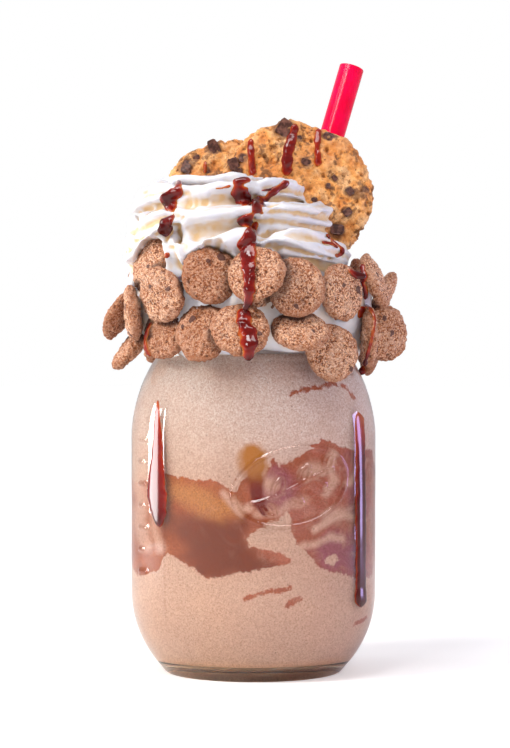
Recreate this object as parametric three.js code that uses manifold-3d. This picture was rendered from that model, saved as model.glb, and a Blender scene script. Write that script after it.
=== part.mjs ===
// A chocolate milkshake in a screw-top glass jar. Whipped cream is piped over the mouth, small round
// cookie-shaped cereal is pressed into a cream collar round the neck, two chocolate chip cookies and a
// straw stand in the cream, and chocolate syrup is drizzled over it all.
//
// Millimetres, +Z up. The jar stands on z = 0 with its axis on the Z axis, and the front looks along -Y.
// Azimuths are degrees from the front, positive towards +X.

import * as THREE from 'three';
import { mergeVertices } from 'three/addons/utils/BufferGeometryUtils.js';
import Module from 'manifold-3d';

const wasm = await Module();
wasm.setup();

const GAP = 0.3;
const RIGHT_ANGLE = Math.PI / 2;

// Jar: a pint preserving jar, 80 mm across and 126 mm tall.
const JAR = {
  bodyRadius: 40,
  height: 126,
  wall: 3,
  sides: 26,
  arcSteps: 2,
  heelRadius: 36,
  heelTop: 26.5,
  heelBottom: 1.2,
  footOuter: 28.9,
  footInner: 26.9,
  pushUp: 1.8,
  floor: 4.6,
  shoulderRadius: 48,
  shoulderBottom: 76,
  neckRadius: 32,
  mouthRadius: 29.4,
  bead: 1.4,
  lip: 1.1,
};

// The shake fills the jar to just under the rim.
const SHAKE_LEVEL = 118;

// The collar of cream that is spread round the outside of the neck.
const COLLAR = { bottom: 105.2, swell: 112.5, top: 126.1, radius: 38.6, sides: 24, rows: 8 };

// The piped swirl: one thick rope wound round a soft core. Each turn gives the rope's height at the front,
// its reach from the middle, where that middle is and how thick the rope is.
const CREAM = {
  skirt: 126.5,
  centreY: -2.2,
  turns: [
    { at: -0.1, height: 130.5, reach: 31, middleX: -3.6, rope: 7 },
    { at: 0.5, height: 134, reach: 31.6, middleX: -4.2, rope: 7.4 },
    { at: 1.5, height: 145, reach: 28.4, middleX: -7, rope: 6 },
    { at: 2.5, height: 152.6, reach: 23.4, middleX: -9, rope: 5.2 },
    { at: 3.4, height: 156.4, reach: 14.5, middleX: -10, rope: 4.4 },
    { at: 4.1, height: 157, reach: 3, middleX: -9.4, rope: 4.2 },
  ],
  segmentsPerTurn: 17,
  ropeSides: 8,
  coreSides: 20,
  coreRows: 7,
};

const COOKIE = { radius: 25.2, thickness: 9.2, sides: 24, rows: 8, squareness: 3 };

const STRAW = { outer: 4.2, inner: 3.7, length: 205, leanX: 0.2926, leanY: 0.154, sides: 20 };
const STRAW_AT_RIM = new THREE.Vector3(11.4, 16.4, 126);
const STRAW_FOOT = 7;

const CEREAL = { radius: 9.4, thickness: 5.2, sides: 12, rows: 6, squareness: 2.5 };

const MATERIALS = {
  glass: new THREE.MeshStandardMaterial({ color: 0xdfe7e6, roughness: 0.05, transparent: true, opacity: 0.35 }),
  shake: new THREE.MeshStandardMaterial({ color: 0xc49a83, roughness: 0.5 }),
  cream: new THREE.MeshStandardMaterial({ color: 0xf4ece0, roughness: 0.55 }),
  cereal: new THREE.MeshStandardMaterial({ color: 0xa87457, roughness: 0.9 }),
  cookie: new THREE.MeshStandardMaterial({ color: 0xc98448, roughness: 0.85 }),
  straw: new THREE.MeshStandardMaterial({ color: 0xf5094e, roughness: 0.35 }),
};

const radians = THREE.MathUtils.degToRad;

// A repeatable number from 0 to 1 for each whole seed.
function chance(seed) {
  const s = Math.sin(seed * 12.9898 + 4.1414) * 43758.5453;
  return s - Math.floor(s);
}

// The unit direction away from the Z axis at an azimuth in degrees.
function away(azimuth) {
  const a = radians(azimuth);
  return new THREE.Vector3(Math.sin(a), -Math.cos(a), 0);
}

// A closed three.js geometry as a solid, with its faces turned outwards.
function solidOf(geometry) {
  const bare = new THREE.BufferGeometry().setAttribute('position', geometry.getAttribute('position'));
  bare.setIndex(geometry.getIndex());
  const merged = mergeVertices(bare, 1e-4);
  const corners = merged.getIndex().array;
  const triangles = [];
  for (let k = 0; k < corners.length; k += 3) {
    const [a, b, c] = corners.slice(k, k + 3);
    if (a !== b && b !== c && c !== a) triangles.push(a, b, c);
  }
  const build = (order) =>
    new wasm.Manifold(
      new wasm.Mesh({
        numProp: 3,
        vertProperties: new Float32Array(merged.getAttribute('position').array),
        triVerts: new Uint32Array(order),
      }),
    );
  const made = build(triangles);
  return made.volume() > 0 ? made : build(triangles.reverse());
}

function geometryOf(solid) {
  const mesh = solid.getMesh();
  const points = new Float32Array(mesh.numVert * 3);
  for (let k = 0; k < mesh.numVert; k++) {
    points.set(mesh.vertProperties.subarray(k * mesh.numProp, k * mesh.numProp + 3), k * 3);
  }
  const geometry = new THREE.BufferGeometry();
  geometry.setAttribute('position', new THREE.BufferAttribute(points, 3));
  geometry.setIndex(new THREE.BufferAttribute(new Uint32Array(mesh.triVerts), 1));
  geometry.computeVertexNormals();
  return geometry;
}

// Turns a piece made about +Z so that it faces an azimuth and is tipped upwards, and moves it to a point.
function facing(azimuth, tip, at) {
  const out = away(azimuth).multiplyScalar(Math.cos(radians(tip))).setZ(Math.sin(radians(tip)));
  const side = new THREE.Vector3(0, 0, 1).cross(out).normalize();
  const up = out.clone().cross(side);
  return new THREE.Matrix4().makeBasis(side, up, out).setPosition(at);
}

function moved(solid, matrix) {
  return solid.transform(matrix.elements);
}

function largest(solid) {
  return solid.decompose().sort((a, b) => b.volume() - a.volume())[0];
}

// A profile of [radius, height] points turned about the Z axis.
function turnedProfile(points, sides) {
  const lathe = new THREE.LatheGeometry(points, sides);
  const position = lathe.getAttribute('position');
  points.forEach((p, row) => position.setXYZ(sides * points.length + row, 0, p.y, p.x));
  lathe.rotateX(RIGHT_ANGLE);
  return solidOf(lathe);
}

// A closed shape like a sphere: place(share, angle) gives the point at a share of the way from the first
// pole to the last and an angle round it.
function wrapped(rows, sides, place) {
  const profile = [];
  for (let row = 0; row <= rows; row++) {
    profile.push(new THREE.Vector2(row === 0 || row === rows ? 0 : 1, row));
  }
  const lathe = new THREE.LatheGeometry(profile, sides);
  const position = lathe.getAttribute('position');
  for (let k = 0; k < position.count; k++) {
    const row = k % (rows + 1);
    const side = Math.floor(k / (rows + 1)) % sides;
    const p = place(row / rows, (2 * Math.PI * side) / sides);
    position.setXYZ(k, p.x, p.y, p.z);
  }
  return solidOf(lathe);
}

// A rounded disc about +Z with a soft edge; wobble(angle) and lump(angle, share) roughen it.
function roundedDisc({ radius, thickness, sides, rows, squareness }, grow, wobble, lump) {
  const power = 2 / squareness;
  return wrapped(rows, sides, (share, angle) => {
    const up = Math.cos(share * Math.PI);
    const out = Math.sin(share * Math.PI);
    const r = (radius * wobble(angle) + grow) * Math.pow(Math.max(out, 0), power);
    const h = (thickness / 2) * (1 + lump(angle, out)) + grow;
    return new THREE.Vector3(
      r * Math.cos(angle),
      r * Math.sin(angle),
      h * Math.sign(up) * Math.pow(Math.abs(up), power),
    );
  });
}

// The same disc with fewer corners, wide enough to hold the finer one: it is only used to cut with.
function coarse(shape) {
  const sides = 8;
  const room = 1 / Math.cos(Math.PI / sides);
  return { ...shape, radius: shape.radius * room, thickness: shape.thickness * room * room, sides, rows: 4 };
}

// Height of a rounded disc's face at a distance from its middle.
function faceHeight({ radius, thickness, squareness }, distance) {
  const reach = Math.min(distance / radius, 1);
  return (thickness / 2) * Math.pow(1 - Math.pow(reach, squareness), 1 / squareness);
}

// A thick line of syrup: path(share) gives its middle and the way its outer face looks.
function strand(path, width, height, grow, rows = 8, sides = 6) {
  const step = 0.02;
  return wrapped(rows, sides, (share, angle) => {
    const here = path(share);
    const ahead = path(Math.min(share + step, 1)).point;
    const behind = path(Math.max(share - step, 0)).point;
    const along = ahead.clone().sub(behind).normalize();
    const side = along.clone().cross(here.facing).normalize();
    const full = share === 0 || share === 1 ? 0 : Math.pow(Math.sin(share * Math.PI), 0.25);
    const w = (width(share) + grow) * full;
    const h = (height + grow) * full;
    return here.point
      .clone()
      .addScaledVector(side, w * Math.cos(angle))
      .addScaledVector(here.facing, h * Math.sin(angle))
      .addScaledVector(along, share === 0 ? -grow : share === 1 ? grow : 0);
  });
}

// Outline of the glass outside, from the heel up to the rim.
function jarOutside(path) {
  const j = JAR;
  const heel = new THREE.Vector2(j.bodyRadius - j.heelRadius, j.heelTop);
  const heelAngle = Math.asin((j.heelBottom - j.heelTop) / j.heelRadius);
  const shoulder = new THREE.Vector2(j.bodyRadius - j.shoulderRadius, j.shoulderBottom);
  const shoulderAngle = Math.acos((j.neckRadius - shoulder.x) / j.shoulderRadius);
  path.absarc(heel.x, heel.y, j.heelRadius, heelAngle, 0, false);
  path.absarc(shoulder.x, shoulder.y, j.shoulderRadius, 0, shoulderAngle, false);
  // The seating bead and two turns of the thread.
  for (const middle of [107, 113.8, 119.6]) {
    path.lineTo(j.neckRadius, middle - 2.2);
    path.lineTo(j.neckRadius + j.bead, middle);
    path.lineTo(j.neckRadius, middle + 2.2);
  }
  path.lineTo(j.neckRadius, j.height - j.lip);
}

function jar() {
  const j = JAR;
  const path = new THREE.Path();
  path.moveTo(0, j.pushUp);
  path.lineTo(22, j.pushUp);
  path.lineTo(j.footInner, 0);
  path.lineTo(j.footOuter, 0);
  jarOutside(path);
  path.lineTo(j.neckRadius - 0.6, j.height);
  path.lineTo(j.mouthRadius + 0.6, j.height);
  path.lineTo(j.mouthRadius, j.height - j.lip);
  jarInside(path, 0);
  return turnedProfile(path.getPoints(j.arcSteps), j.sides);
}

// Outline of the glass inside, from the mouth down to the middle of the floor.
function jarInside(path, clearance) {
  const j = JAR;
  const mouth = j.mouthRadius - clearance;
  const shoulderX = j.bodyRadius - j.shoulderRadius;
  const shoulder = j.shoulderRadius - j.wall - clearance;
  const shoulderAngle = Math.acos((mouth - shoulderX) / shoulder);
  const heelX = j.bodyRadius - j.heelRadius;
  const heel = j.heelRadius - j.wall - clearance;
  const heelAngle = Math.asin((j.floor + 1.2 + clearance - j.heelTop) / heel);
  path.absarc(shoulderX, j.shoulderBottom, shoulder, shoulderAngle, 0, true);
  path.absarc(heelX, j.heelTop, heel, 0, heelAngle, true);
  path.lineTo(25, j.floor + clearance);
  path.lineTo(0, j.floor + 0.6 + clearance);
}

function shake() {
  const path = new THREE.Path();
  path.moveTo(0, SHAKE_LEVEL);
  path.lineTo(JAR.mouthRadius - GAP, SHAKE_LEVEL);
  jarInside(path, GAP);
  return turnedProfile(path.getPoints(JAR.arcSteps), JAR.sides);
}

// The room that the jar's shoulder, bead and thread need inside the collar.
function jarRoom() {
  const j = JAR;
  const sides = 28;
  const spread = GAP / Math.cos(Math.PI / sides);
  const neck = (j.neckRadius + j.bead + spread) / Math.cos(Math.PI / sides);
  const shoulder = new THREE.Vector2(j.bodyRadius - j.shoulderRadius, j.shoulderBottom);
  const radius = j.shoulderRadius + 2 * spread;
  const path = new THREE.Path();
  path.moveTo(0, j.shoulderBottom);
  path.lineTo(shoulder.x + radius, shoulder.y);
  path.absarc(shoulder.x, shoulder.y, radius, 0, Math.acos((neck - shoulder.x) / radius), false);
  path.lineTo(neck, j.height + 1);
  path.lineTo(0, j.height + 1);
  return turnedProfile(path.getPoints(j.arcSteps), sides);
}

// The spread collar: a soft uneven ring that thins out over the shoulder. It is made solid here, and the
// jar is cut out of it.
function collar() {
  const c = COLLAR;
  const low = c.bottom - 1.6;
  const outline = new THREE.SplineCurve([
    new THREE.Vector2(JAR.neckRadius + 0.6, low),
    new THREE.Vector2(c.radius - 2.2, c.bottom + 2.4),
    new THREE.Vector2(c.radius, c.swell),
    new THREE.Vector2(c.radius + 0.4, (c.swell + c.top) / 2 + 1),
    new THREE.Vector2(c.radius, c.top),
  ]);
  return wrapped(c.rows, c.sides, (share, angle) => {
    if (share === 0) return new THREE.Vector3(0, 0, low - 2);
    if (share === 1) return new THREE.Vector3(0, 0, c.top);
    const along = (share * c.rows - 1) / (c.rows - 2);
    const p = outline.getPoint(along);
    const uneven = 0.5 * Math.sin(5 * angle + 1) + 0.4 * Math.sin(8 * angle + 9 * along);
    const sag = 1.1 * Math.sin(4 * angle + 0.6) + 0.7 * Math.sin(7 * angle);
    const out = p.x + uneven * Math.sin(along * Math.PI);
    return new THREE.Vector3(
      out * Math.cos(angle),
      out * Math.sin(angle),
      p.y + sag * Math.pow(1 - along, 2),
    );
  });
}

// The rope's middle, thickness and outward direction after a number of turns, which start at the back.
function ropeAt(turn) {
  const list = CREAM.turns;
  const above = Math.min(list.length - 1, Math.max(1, list.findIndex((entry) => entry.at >= turn)));
  const [low, high] = [list[above - 1], list[above]];
  const share = (turn - low.at) / (high.at - low.at);
  const mix = (key) => THREE.MathUtils.lerp(low[key], high[key], share);
  const outward = away(180 + 360 * turn);
  const middle = outward
    .clone()
    .multiplyScalar(mix('reach'))
    .add(new THREE.Vector3(mix('middleX'), CREAM.centreY, mix('height')));
  return { middle, outward, rope: mix('rope') };
}

function swirl() {
  const c = CREAM;
  const last = c.turns.length - 1;
  const [start, end] = [c.turns[0].at, c.turns[last].at];
  const rows = Math.round((end - start) * c.segmentsPerTurn);
  const rope = wrapped(rows + 2, c.ropeSides, (share, angle) => {
    const row = share * (rows + 2) - 1;
    const here = ropeAt(THREE.MathUtils.clamp(start + (row / rows) * (end - start), start, end));
    if (share === 0 || share === 1) return here.middle;
    return here.middle
      .addScaledVector(here.outward, here.rope * Math.cos(angle))
      .add(new THREE.Vector3(0, 0, here.rope * Math.sin(angle)));
  });
  const core = wrapped(c.coreRows, c.coreSides, (share, angle) => {
    if (share === 0) return new THREE.Vector3(c.turns[0].middleX, c.centreY, c.skirt);
    const rise = (share * c.coreRows - 1) / (c.coreRows - 1);
    const height = THREE.MathUtils.lerp(c.skirt, c.turns[last].height, rise);
    const reach = (c.turns[0].reach + 4.5) * Math.pow(Math.max(0, 1 - Math.pow(rise, 2.4)), 1 / 2.4);
    return new THREE.Vector3(
      THREE.MathUtils.lerp(c.turns[0].middleX, c.turns[last].middleX, rise) + reach * Math.cos(angle),
      c.centreY + reach * Math.sin(angle),
      height,
    );
  });
  const below = solidOf(new THREE.BoxGeometry(120, 120, 20)).translate([0, 0, c.skirt - 10]);
  return rope.add(core).subtract(below);
}

// The plug of cream in the mouth of the jar.
function creamPlug() {
  const radius = JAR.mouthRadius - GAP;
  const plug = new THREE.CylinderGeometry(radius, radius, CREAM.skirt + 1 - (SHAKE_LEVEL + GAP), JAR.sides);
  plug.rotateX(RIGHT_ANGLE);
  plug.translate(0, 0, (CREAM.skirt + 1 + SHAKE_LEVEL + GAP) / 2);
  return solidOf(plug);
}

// Lines of syrup down the front of the swirl, as [x, height] points from the top.
const CREAM_SYRUP = [
  { width: 2.1, route: [[-24.3, 159], [-24, 155.7], [-26.6, 152.3], [-25.1, 148.3], [-28, 144]] },
  { width: 2.2, route: [[-4, 159.8], [-4, 155.3], [-2.1, 150.5]] },
  { width: 2.3, route: [[9.8, 157.6], [3, 151.3], [1.1, 147.8], [-1.8, 145.1], [-0.8, 140.9], [-2, 137.5]] },
];

// Where a line looking along +Y first meets the rope.
function frontOfSwirl(x, height) {
  const stepsPerTurn = 60;
  const last = CREAM.turns.length - 1;
  const front = new THREE.Vector3(x, 0, height);
  for (let k = 0; k <= CREAM.turns[last].at * stepsPerTurn; k++) {
    const { middle, rope } = ropeAt(k / stepsPerTurn);
    const inside = rope * rope - (x - middle.x) ** 2 - (height - middle.z) ** 2;
    if (inside > 0) front.y = Math.min(front.y, middle.y - Math.sqrt(inside));
  }
  return front;
}

function syrupOnCream({ width, route }) {
  const curve = new THREE.SplineCurve(route.map(([x, height]) => new THREE.Vector2(x, height)));
  const samples = curve.getPoints(8).map((p) => frontOfSwirl(p.x, p.y));
  const line = new THREE.CatmullRomCurve3(samples);
  const path = (share) => ({ point: line.getPoint(share), facing: new THREE.Vector3(0, -0.9, 0.44) });
  return strand(path, (share) => width * (1 + 0.25 * Math.sin(14 * share)), 1.6, 0, 9, 6);
}

// A chocolate chip cookie about +Z, its face towards +Z and its upper edge towards +Y. A chip is [x, y, across].
function cookie({ seed, chips, syrup }, grow = 0, size = COOKIE) {
  const wobble = (angle) => 1 + 0.014 * Math.sin(3 * angle + seed) + 0.01 * Math.sin(7 * angle + 2 * seed);
  const lump = (angle, out) => 0.1 * (1 - out) + 0.06 * Math.sin(4 * angle + seed) * out;
  let made = roundedDisc(size, grow, wobble, lump);
  for (const [x, y, across] of chips) {
    const chip = wrapped(3, 6, (share, turn) => {
      const r = (across + grow) * Math.sin(share * Math.PI);
      return new THREE.Vector3(r * Math.cos(turn), r * Math.sin(turn), 0.6 * (across + grow) * Math.cos(share * Math.PI));
    });
    made = made.add(chip.translate([x, y, faceHeight(COOKIE, Math.hypot(x, y)) - 0.1]));
  }
  for (const { x, top, bottom, width } of syrup) {
    const path = (share) => {
      const y = THREE.MathUtils.lerp(top, bottom, share);
      return {
        point: new THREE.Vector3(x + 0.7 * Math.sin(5 * share), y, faceHeight(COOKIE, Math.hypot(x, y)) + 0.2),
        facing: new THREE.Vector3(0, 0, 1),
      };
    };
    made = made.add(strand(path, (share) => width * (0.8 + 0.4 * share), 1, grow, 8, 6));
  }
  return made;
}

const COOKIES = [
  {
    name: 'cookie_front',
    seed: 1,
    at: new THREE.Vector3(14.2, 10.6, 156.2),
    lean: 8,
    yaw: 5,
    chips: [
      [-4.4, 22.4, 3.1], [9.6, 20.2, 2.6], [-20.4, 10.2, 2.6], [3.2, 11, 2.1], [17.2, 1, 2.2],
      [22.2, 1.8, 2], [13.2, -12.8, 3.2], [5.6, 3, 1.9], [16.2, -5.7, 1.9],
    ],
    syrup: [
      { x: -14.4, top: 19, bottom: 6, width: 1.4 },
      { x: -1.6, top: 24.4, bottom: 6, width: 1.7 },
      { x: 7.2, top: 22.5, bottom: 10, width: 1.7 },
    ],
  },
  {
    name: 'cookie_back',
    seed: 2,
    at: new THREE.Vector3(-7.3, 30.6, 152.4),
    lean: 8,
    yaw: -4,
    chips: [[-6.5, 22.2, 2.6], [-15.2, 15.6, 2.6], [-19, 5, 2.2], [4, 16, 2.4]],
    syrup: [{ x: -9, top: 20, bottom: 14, width: 1.2 }],
  },
];

// One piece of cereal about +Z: a domed little disc, no two quite alike. syrup is a line down its face at x,
// which may hang below its edge; tip is how far the piece is tipped upwards.
function cereal({ seed, syrup, tip }, grow = 0, shape = CEREAL) {
  const size = 0.95 + 0.05 * chance(seed + 0.3);
  const wobble = (angle) => size * (1 + 0.022 * Math.sin(2 * angle + seed) + 0.012 * Math.sin(3 * angle + 5 * seed));
  const lump = (angle, out) => 0.08 * Math.sin(3 * angle + seed * 2) * out - 0.04;
  const disc = roundedDisc(shape, grow, wobble, lump);
  if (!syrup) return disc;
  const edge = size * CEREAL.radius;
  const half = Math.sqrt(edge * edge - syrup.x * syrup.x);
  const points = [0.9, 0.4, -0.1, -0.6, -0.92].map(
    (share) => new THREE.Vector3(syrup.x, half * share, faceHeight(CEREAL, Math.hypot(syrup.x, half * share)) - 0.1),
  );
  if (syrup.hang) {
    const down = new THREE.Vector3(0, -Math.cos(radians(tip)), -Math.sin(radians(tip)));
    points.push(new THREE.Vector3(syrup.x, -half, 0.4).addScaledVector(down, syrup.hang));
  }
  const line = new THREE.CatmullRomCurve3(points);
  const path = (share) => ({ point: line.getPoint(share), facing: new THREE.Vector3(0, 0, 1) });
  return disc.add(strand(path, (share) => syrup.width * (1.1 - 0.3 * share), 1.1, grow, 8, 6));
}

// Where each piece of cereal sits: azimuth, height and out place its middle; face and tip turn it.
const CEREAL_PLACES = [
  { azimuth: 8, height: 125, out: 36.5, face: 9, tip: 1 },
  { azimuth: -58, height: 131, out: 38.5, face: -58, tip: 11, onTop: 10 },
  { azimuth: -20, height: 127.5, out: 39.5, face: 5, tip: 11 },
  { azimuth: 18, height: 124, out: 42.5, face: 8, tip: 8 },
  { azimuth: 44, height: 123, out: 40, face: 44, tip: 3 },
  { azimuth: -82, height: 106, out: 40, face: -76, tip: 40 },
  { azimuth: -65, height: 116.5, out: 42.5, face: -86, tip: -6 },
  { azimuth: -49, height: 110.5, out: 37, face: -45, tip: 7 },
  { azimuth: -23, height: 110, out: 40, face: -26, tip: 14 },
  { azimuth: 38, height: 104, out: 40, face: 22, tip: 3 },
  { azimuth: 64, height: 109.5, out: 41, face: 84, tip: 0, syrup: { x: -5, width: 1.2, hang: 3 } },
  { azimuth: 72, height: 127, out: 41, face: 76, tip: 24 },
  { azimuth: -43, height: 122, out: 42.5, face: -42, tip: -14 },
  { azimuth: 1, height: 128, out: 44, face: -24, tip: 17, syrup: { x: -2.2, width: 2.2 } },
  { azimuth: 20, height: 110.5, out: 42.5, face: 6, tip: 49 },
  { azimuth: -5, height: 112.5, out: 44.5, face: 4, tip: 30, syrup: { x: 2.2, width: 2.2, hang: 4.2 } },
  { azimuth: 87, height: 110, out: 43, face: 34, tip: -2 },
  { azimuth: 97, height: 122.5, out: 43, face: 82, tip: -26 },
  { azimuth: -87, height: 117, out: 43.5, face: -105, tip: 32 },
  { azimuth: 109, height: 106, out: 40.5, face: 98, tip: 0 },
  { azimuth: 121, height: 127, out: 41.5, face: 100, tip: 5 },
  { azimuth: 144, height: 128.5, out: 40.5, face: 153, tip: 2 },
  { azimuth: 170, height: 127, out: 44, face: 175, tip: 34 },
  { azimuth: -165, height: 129, out: 40.5, face: -179, tip: 14 },
  { azimuth: -139, height: 125.5, out: 42.5, face: -146, tip: -4 },
  { azimuth: -117, height: 127, out: 40, face: -125, tip: -6 },
  { azimuth: 134, height: 109.5, out: 40.5, face: 125, tip: -8 },
  { azimuth: 159, height: 111, out: 40, face: 156, tip: -3 },
  { azimuth: -177, height: 108.5, out: 42.5, face: -164, tip: 26 },
  { azimuth: -149, height: 107.5, out: 40.5, face: -148, tip: 12 },
  { azimuth: -125, height: 110, out: 41, face: -110, tip: 2 },
];

const group = new THREE.Group();

function addMesh(name, solid, material, matrix = new THREE.Matrix4()) {
  const mesh = new THREE.Mesh(geometryOf(solid), material);
  mesh.name = name;
  mesh.applyMatrix4(matrix);
  group.add(mesh);
}

addMesh('jar', jar(), MATERIALS.glass);

// The straw is turned about its own +Z and leans to the right and back.
const strawAxis = new THREE.Vector3(STRAW.leanX, STRAW.leanY, 1);
const strawFoot = STRAW_AT_RIM.clone().addScaledVector(strawAxis, STRAW_FOOT - STRAW_AT_RIM.z);
const strawTurn = new THREE.Quaternion().setFromUnitVectors(
  new THREE.Vector3(0, 0, 1),
  strawAxis.clone().normalize(),
);
const strawMatrix = new THREE.Matrix4().compose(strawFoot, strawTurn, new THREE.Vector3(1, 1, 1));
const tube = (inner, outer, from, to) =>
  turnedProfile(
    [
      new THREE.Vector2(inner, from),
      new THREE.Vector2(outer, from),
      new THREE.Vector2(outer, to),
      new THREE.Vector2(inner, to),
      new THREE.Vector2(inner, from),
    ].slice(0, inner > 0 ? 5 : 4),
    STRAW.sides,
  );
addMesh('straw', tube(STRAW.inner, STRAW.outer, 0, STRAW.length), MATERIALS.straw, strawMatrix);
const strawHole = moved(tube(0, STRAW.outer + GAP * 1.2, -GAP, STRAW.length), strawMatrix);

addMesh('shake', largest(shake().subtract(strawHole)), MATERIALS.shake);

const cutters = [strawHole];
for (const one of COOKIES) {
  const matrix = facing(one.yaw, one.lean, one.at);
  addMesh(one.name, cookie(one), MATERIALS.cookie, matrix);
  cutters.push(moved(cookie(one, GAP, { ...coarse(COOKIE), sides: 16, rows: 6 }), matrix));
}

// Cream is cut away from each piece of cereal, and from the front of one that lies on top of it.
CEREAL_PLACES.forEach((place, index) => {
  const one = { ...place, seed: index + 1 };
  const at = away(one.azimuth).multiplyScalar(one.out).setZ(one.height);
  const matrix = facing(one.face, one.tip, at);
  addMesh('cereal_' + String(one.seed).padStart(2, '0'), cereal(one), MATERIALS.cereal, matrix);
  const room = cereal({ ...one, syrup: null }, 1.8 * GAP, coarse(CEREAL));
  const ahead = one.onTop ? wasm.Manifold.hull([room, room.translate([0, 0, one.onTop])]) : room;
  cutters.push(moved(one.syrup ? ahead.add(cereal(one, GAP)) : ahead, matrix));
});

let cream = swirl().add(creamPlug());
for (const line of CREAM_SYRUP) cream = cream.add(syrupOnCream(line));
let spread = collar().subtract(jarRoom());
for (const cutter of cutters) {
  cream = cream.subtract(cutter);
  spread = spread.subtract(cutter);
}
addMesh('whipped_cream', largest(cream), MATERIALS.cream);
addMesh('cream_collar', largest(spread), MATERIALS.cream);

export default group;
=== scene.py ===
"""A chocolate milkshake in a screw-top glass jar.

Piped whipped cream stands on the mouth and is spread round the neck, small round cookie-shaped cereal is
pressed into it, two chocolate chip cookies and a straw stand in it, and chocolate syrup runs over it all.
Sizes are real millimetres, turned to metres where a mesh is made. The jar stands on z = 0 with its axis on
the Z axis, and the front looks along -Y. "Seen from the front" gives a point as millimetres across and up
on the upright plane through the jar's axis, from where the camera's sight line carries it to the food.
"""
import math

import bpy
import numpy as np
from mathutils import Matrix, Vector
from mathutils.bvhtree import BVHTree


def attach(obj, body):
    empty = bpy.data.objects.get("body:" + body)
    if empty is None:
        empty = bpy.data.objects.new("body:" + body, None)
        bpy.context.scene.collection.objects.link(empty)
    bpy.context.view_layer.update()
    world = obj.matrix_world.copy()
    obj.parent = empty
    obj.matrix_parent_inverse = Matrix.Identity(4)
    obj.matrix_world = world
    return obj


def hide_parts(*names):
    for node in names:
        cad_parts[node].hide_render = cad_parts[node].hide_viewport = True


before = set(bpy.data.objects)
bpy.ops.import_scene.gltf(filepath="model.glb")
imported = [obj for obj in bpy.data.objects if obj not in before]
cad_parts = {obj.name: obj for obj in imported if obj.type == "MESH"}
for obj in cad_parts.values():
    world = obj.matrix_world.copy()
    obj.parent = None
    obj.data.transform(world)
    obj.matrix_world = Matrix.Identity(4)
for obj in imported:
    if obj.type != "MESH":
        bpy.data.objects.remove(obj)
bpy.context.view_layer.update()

MM = 0.001
# The photograph is PHOTO_HEIGHT pixels high, and the lens is FOCAL_PX of those pixels long.
PHOTO_HEIGHT, FOCAL_PX, SENSOR_MM = 748, 2131.5, 36.0
CAMERA = Vector((0.5, -700.0, 97.1))

JAR_RADIUS, JAR_HEIGHT, JAR_WALL = 40.0, 126.0, 3.0
HEEL_RADIUS, HEEL_TOP = 36.0, 26.5
SHOULDER_RADIUS, SHOULDER_BOTTOM = 48.0, 76.0
NECK_RADIUS, MOUTH_RADIUS = 32.0, 29.4
FOOT_OUTER, FOOT_INNER, PUSH_UP, FLOOR = 28.9, 26.9, 1.8, 4.6
FLOOR_RADIUS, FLOOR_CROWN = 25.0, 0.6
THREAD_HEIGHTS, THREAD_HALF, THREAD_DEPTH = (107, 113.8, 119.6), 2.2, 1.4
GLASS_IOR = 1.5
# The moulded pattern lies round the glass from the front and up it: a ring with a sprig in it, measuring
# marks, and the seams of the mould, each with how far it stands proud.
RING_MIDDLE, RING_HALVES, RING_TILT, RING_PROUD = (13.0, 62.0), (19.5, 12.0), math.radians(12), 0.95
STEM_HALF, STEM_BEND, STEM_WAVE, LEAF_COUNT, LEAF_STEP = 15.0, 2.2, 8.5, 6, 4.6
MARKS_FROM, MARK_LEVELS, MARK_LENGTHS, MARK_PROUD = -46.0, range(34, 77, 7), (5.5, 3.0), 0.5
SEAMS, SEAM_PROUD = (-31.0, 94.7), 0.14

# The drink reaches just into the wall, so that no air lies between the two.
SHAKE_LEVEL, INTO_WALL = 118.0, 0.15

CREAM_CENTRE_Y, CREAM_SKIRT = -2.2, 126.5
# Turn, height at the front, reach from the middle, where that middle is across, and half the rope's width.
CREAM_TURNS = (
    (-0.1, 130.5, 31.0, -3.6, 7.0),
    (0.5, 134.0, 31.6, -4.2, 7.4),
    (0.75, 134.2, 31.0, -5.0, 5.6),
    (1.0, 138.5, 29.6, -5.6, 6.2),
    (1.5, 145.0, 28.4, -7.0, 6.0),
    (2.5, 152.6, 23.4, -9.0, 5.2),
    (3.4, 156.4, 14.5, -10.0, 4.4),
    (4.1, 157.0, 3.0, -9.4, 4.2),
)
ROUGH_CREAM_GRAIN, CREAM_GRAIN, SYRUP_GRAIN = 0.6, 0.53, 0.32
COLLAR_FOOT, COLLAR_TOP, COLLAR_THICKNESS = 104.0, 127.5, 6.3

CEREAL_COUNT, CEREAL_RADIUS, CEREAL_THICKNESS = 31, 9.4, 5.2
# These pieces of cereal sit in the shade of others and are painted darker: painted shade.
CEREAL_PAINTED_IN_SHADE = (3, 8, 9)
# The fold of cream in front of this piece of cereal is pressed back nearly along the view, not square to it.
UNDER_FOLD, FOLD_WAY = 2, np.array([-0.17, -0.985, 0.0])

COOKIE_RADIUS, COOKIE_THICKNESS = 25.2, 9.2
COOKIES = {
    "cookie_front": dict(at=(14.2, 10.6, 156.2), lean=8, yaw=5, seed=1),
    "cookie_back": dict(at=(-7.3, 30.6, 152.4), lean=8, yaw=-4, seed=2),
}

STRAW_OUTER, STRAW_INNER, STRAW_LENGTH = 4.2, 3.7, 205.0
STRAW_LEAN = Vector((0.2926, 0.154, 1.0))
STRAW_AT_RIM = Vector((11.4, 16.4, 126.0))
STRAW_FOOT = 7.0

# The settings of a Mix node that mixes colours.
COLOURS = {"data_type": "RGBA"}


# Small tools

def linear(hex_colour):
    """An sRGB hex colour as linear red, green, blue and alpha."""
    parts = [int(hex_colour[k:k + 2], 16) / 255 for k in (1, 3, 5)]
    return tuple(c / 12.92 if c <= 0.04045 else ((c + 0.055) / 1.055) ** 2.4 for c in parts) + (1.0,)


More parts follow.
